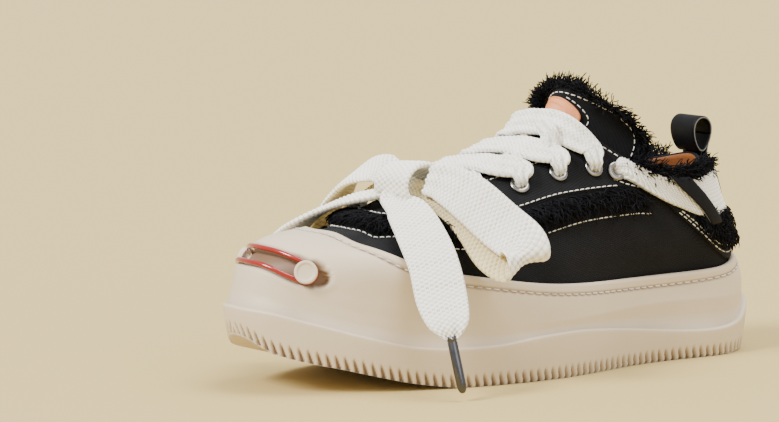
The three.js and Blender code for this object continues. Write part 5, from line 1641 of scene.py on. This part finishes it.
def pull_eye(u, v, offset):
    """The upright eye: a pointed ring that stands on the rim."""
    angle = 2 * math.pi * u
    reach_y = 0.27 * PULL_HEIGHT - STRAP_THICKNESS + offset
    reach_z = 0.42 * PULL_HEIGHT - STRAP_THICKNESS + offset
    taper = 1 + 0.25 * np.sin(angle)
    return np.stack([
        0.5 * PULL_WIDTH * (2 * v - 1) * (1 + 0.03 * np.sin(angle)),
        rim[1] - 0.001 + reach_y * taper * np.cos(angle),
        rim[2] + 0.42 * PULL_HEIGHT + 0.0006 + reach_z * np.sin(angle),
    ], -1)


def pull_tail(u, v, offset):
    """The tail on the outside. Its upper quarter leaves the heel and meets the eye."""
    flat = offset_point(np.ones_like(u), np.minimum(5.05 - 0.5 * u, TOP_LEVEL), 0.0005 + offset)
    upper_part = np.maximum(0.25 - u, 0)
    flat[..., 2] += upper_part * 0.02
    flat[..., 1] += upper_part * 0.006
    flat[..., 0] = 0.5 * PULL_WIDTH * (2 * v - 1)
    return flat


pull_strap = joined(
    slab("pull_strap", pull_eye, 64, 22, 0.0, STRAP_THICKNESS, STRAP_LOOKS),
    slab("pull_tail", pull_tail, 20, 22, 0.0, STRAP_THICKNESS, STRAP_LOOKS))
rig.ride(pull_strap, "root")
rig.slot(pull_strap, "strap")
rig.replaces(pull_strap, "pull_loop")


# Toe buttons and band: two cream rubber buttons with a sunk face on short posts in the recess, and a
# glossy red band looped round both posts.
BUTTON_DIAMETER = 0.011
BUTTON_THICKNESS = 0.0026
POST_DIAMETER = 0.0054
TOE_BAND_DIAMETER = 0.0024
TOE_BAND_DEPTH = -0.0004
fine_places = np.linspace(0.02, 0.4, 400)
fine_x = wall_point(fine_places, SLOT_LEVEL, 0.0)[:, 0]
button_place = float(np.interp(0.5 * BUTTON_SPACING, fine_x, fine_places))
button_base = TOE_BAND_DEPTH + 0.5 * TOE_BAND_DIAMETER + 3 * SEAM_GAP
for side_name, side in (("medial", -1), ("lateral", 1)):
    head = cylinder(
        "button_" + side_name, RUBBER, 48, 0.5 * BUTTON_DIAMETER, button_base, button_base + BUTTON_THICKNESS)
    bpy.ops.object.mode_set(mode="EDIT")
    bpy.ops.mesh.select_all(action="DESELECT")
    bpy.ops.object.mode_set(mode="OBJECT")
    max(head.data.polygons, key=lambda polygon: polygon.center.z).select = True
    bpy.ops.object.mode_set(mode="EDIT")
    bpy.ops.mesh.inset(thickness=0.0013)
    bpy.ops.mesh.inset(thickness=0.0006, depth=-0.0007)
    bpy.ops.object.mode_set(mode="OBJECT")
    applied(head, "BEVEL", width=0.0004, segments=3, limit_method="ANGLE")
    head = joined(head, cylinder("post", RUBBER, 32, 0.5 * POST_DIAMETER, -SLOT_DEPTH, button_base))
    spot, _, _, out = wall_frame(side * button_place, SLOT_LEVEL)
    set_on(head, spot, out)
    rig.ride(head, "root")
    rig.slot(head, "rubber")
    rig.replaces(head, "toe_button_" + side_name)

red_look, _, red_shader, _ = soiled_material(
    "band_red", (0.27, 0.002, 0.0008), (0.15, 0.002, 0.0008), 0.18, 200.0, 0.3)
red_shader.inputs["Coat Weight"].default_value = 0.5


def band_spots(places, turns):
    """Spots of the red band's middle: places along the slot, and turns round the post there."""
    spot, along, upward, out = wall_frame(places, np.full(len(places), SLOT_LEVEL))
    reach = 0.5 * POST_DIAMETER + 0.0006 + 0.5 * TOE_BAND_DIAMETER
    turns = turns[:, None]
    return spot + out * TOE_BAND_DEPTH + along * reach * np.sin(turns) + upward * reach * np.cos(turns), out


strand_places = np.linspace(-button_place, button_place, 60)
turning = np.linspace(0, math.pi, 14)[1:-1]
route_of_band = [
    band_spots(strand_places, np.zeros(60)), band_spots(np.full(12, button_place), turning),
    band_spots(strand_places[::-1], np.full(60, math.pi)),
    band_spots(np.full(12, -button_place), math.pi + turning)]
band_route, band_out = (np.concatenate(parts) for parts in zip(*route_of_band))
band_radii = np.full((1, len(band_route)), 0.5 * TOE_BAND_DIAMETER)
red_band = bundle("red_loop", band_route[None], band_out[None], band_radii, 12, red_look, True)
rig.ride(red_band, "root")
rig.slot(red_band, "red_band")
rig.replaces(red_band, "toe_band")


# Aglets: gunmetal tips crimped on the two lace ends, round at the point, with a ring near the top.
AGLET_CORNERS = 28
AGLET_GRIP = 0.0016
# Distance from the middle line and down from the upper end, along one side of the tip.
AGLET_PROFILE = [
    (0.0019, 0.0), (0.0023, 0.0004), (0.0023, 0.0022), (0.00205, 0.0026), (0.0023, 0.003),
    (0.0023, 0.023), (0.0021, 0.0248), (0.0015, 0.0262), (0.0007, 0.0269)]
aglet_tips = []
for side_name, lace, lean in (
        ("lateral", LATERAL_LACE, (0.005, 0.0034, -0.026)), ("medial", MEDIAL_LACE, (-0.005, 0.002, -0.026))):
    turn = 2 * math.pi * np.arange(AGLET_CORNERS) / AGLET_CORNERS
    rings = np.array([[(r * math.cos(a), r * math.sin(a), z) for a in turn] for r, z in AGLET_PROFILE])
    faces = tube_faces(len(rings), AGLET_CORNERS)
    tip = new_piece("aglet_tip_" + side_name, rings.reshape(-1, 3), faces, GUNMETAL)
    down = Vector(lean).normalized()
    set_on(tip, Vector(lace[-1][:3]) - down * AGLET_GRIP, down)
    recalculated(tip)
    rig.ride(tip, "root")
    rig.slot(tip, "metal")
    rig.replaces(tip, "aglet_" + side_name)
    aglet_tips.append(tip)
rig.cord(
    bow_lateral, exit=lateral_path[0], length=lateral_length, diameter=LACE_WIDTH, far_end="fitting",
    stiffness="limp", lay="hanging", path=lateral_path, with_pieces=[aglet_tips[0], bow_wrap],
)
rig.cord(
    bow_medial, exit=medial_path[0], length=medial_length, diameter=LACE_WIDTH, far_end="fitting",
    stiffness="limp", lay="hanging", path=medial_path, with_pieces=[aglet_tips[1]],
)


# Stitches: raised threads of off-white cotton in rows along the eyestay, below the fringe, round the
# collar, on the tongue and the heel, and greyer ones in the groove below the rubber's edge.
WHITE_THREAD = soiled_material("white_thread", (0.78, 0.76, 0.70), (0.45, 0.42, 0.36), 0.8, 90.0, 0.7)[0]
GREY_THREAD = soiled_material("grey_thread", (0.62, 0.58, 0.52), (0.30, 0.25, 0.20), 0.8, 90.0, 0.7)[0]


def stitch_row(line, outs, pitch, length, radius):
    """Stations of the stitches along a line of points: each dips in at its two ends."""
    walked = distance_along(line)
    starts = np.arange(0.3 * pitch, walked[-1] - pitch, pitch)
    at = starts[:, None] + length * np.array([0, 0.12, 0.5, 0.88, 1.0])
    spots, out = (
        np.stack([np.interp(at, walked, values[:, k]) for k in range(3)], -1) for values in (line, outs))
    out = unit(out)
    height = radius * np.array([-1.2, 0.25, 0.6, 0.25, -1.2])[None, :, None]
    radii = np.tile(radius * np.array([0.6, 1, 1, 1, 0.6]), (len(starts), 1))
    return spots + out * height, out, radii


def on_upper(place, level):
    return surface_point(place, level, 0.0002), upper_normal(place, level)


def drawn_line(rows, surface):
    """A smooth line through (place, level) rows on a surface, as points and ways out."""
    share = np.linspace(0, 1, len(rows))
    fine = np.linspace(0, 1, 400)
    return surface(*(smooth(np.stack([share, column], 1), fine) for column in np.array(rows, float).T))


def sew(name, lines, pitch, length, radius, look):
    parts = [stitch_row(line, outs, pitch, length, radius) for line, outs in lines]
    spots, outs, radii = (np.concatenate([part[k] for part in parts]) for k in range(3))
    piece = bundle(name, spots, outs, radii, 6, look)
    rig.ride(piece, "root")
    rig.slot(piece, "lace" if look is WHITE_THREAD else "rubber")
    return piece


def along_edge(first, last, drop):
    """A line that keeps its distance below the eyestay's lower edge; a negative drop is above it."""
    place = np.linspace(first, last, 700)
    level = eyestay_level(place)
    level = level - drop / level_length(place, level)
    return surface_point(place, level, 0.0003), upper_normal(place, level)


def on_tongue(along, across):
    return tongue_offset(along, across, 0.0001), tongue_normal(along, across)


def on_heel(place, level):
    thickness = HEEL_PATCH_GAP + HEEL_PATCH_THICKNESS
    return offset_point(place, level, thickness + 0.0001), upper_normal(place, level)


EDGE_STITCHES = 0.93
PATCH_STITCH_RADIUS = 0.0125
# Rows of (place, level) on the outer side; the inner side has the same.
UPPER_LINES = (
    [(0.33, 4.82), (0.5, 4.8), (0.66, 4.8), (0.78, 4.78)],
    [(0.8, 4.62), (0.88, 4.6), (0.96, 4.62)],
    [(0.715, 3.75), (0.737, 3.62), (0.765, 3.6), (0.785, 3.78)],
)
HEEL_LINES = (
    [(0.79, 2.75), (0.818, 2.08), (0.85, 1.62), (0.92, 1.56), (1.0, 1.6)],
    [(0.80, 2.8), (0.828, 2.2), (0.858, 1.8), (0.92, 1.73), (1.0, 1.76)],
)
white_lines = [along_edge(-0.72, 0.72, -0.0014), along_edge(-0.735, 0.735, 0.0165)]
for rows in UPPER_LINES:
    for side in (1, -1):
        white_lines.append(drawn_line([(side * place, level) for place, level in rows], on_upper))
for rows in HEEL_LINES:
    white_lines.append(drawn_line(rows, on_heel))
    white_lines.append(drawn_line([(2 - place, level) for place, level in rows], on_heel))
white_lines.append(on_tongue(np.full(60, 0.965), np.linspace(-EDGE_STITCHES, EDGE_STITCHES, 60)))
for side in (1, -1):
    white_lines.append(on_tongue(np.linspace(0.45, 0.955, 60), np.full(60, side * EDGE_STITCHES)))
turn = np.linspace(0.2, 2.94, 60)
white_lines.append(on_tongue(
    PATCH_ALONG - PATCH_STITCH_RADIUS / tongue_length * np.cos(turn),
    PATCH_STITCH_RADIUS * np.sin(turn) / (0.45 * TONGUE_WIDTH)))
sew("stitches_upper", white_lines, 0.0034, 0.0023, 0.0003, WHITE_THREAD)
rubber_places = np.linspace(-1, 1, 1600)
rubber_rise = np.linalg.norm(
    wall_point(rubber_places, rubber_level(rubber_places), 0.0)
    - wall_point(rubber_places, 0.9 * rubber_level(rubber_places), 0.0), axis=1)
thread_level = rubber_level(rubber_places) * (1 - 0.1 * THREAD_GROOVE_DROP / rubber_rise)
sew("stitches_rubber", [
    (wall_point(rubber_places, thread_level, -0.0002), upper_normal(rubber_places, thread_level)),
], 0.0048, 0.0033, 0.0004, GREY_THREAD)


visual_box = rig.bounds()
with open("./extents.json", "w") as size_file:
    json.dump({
        "cad": [list(corner) for corner in cad_box],
        "visual": [list(corner) for corner in visual_box],
    }, size_file)
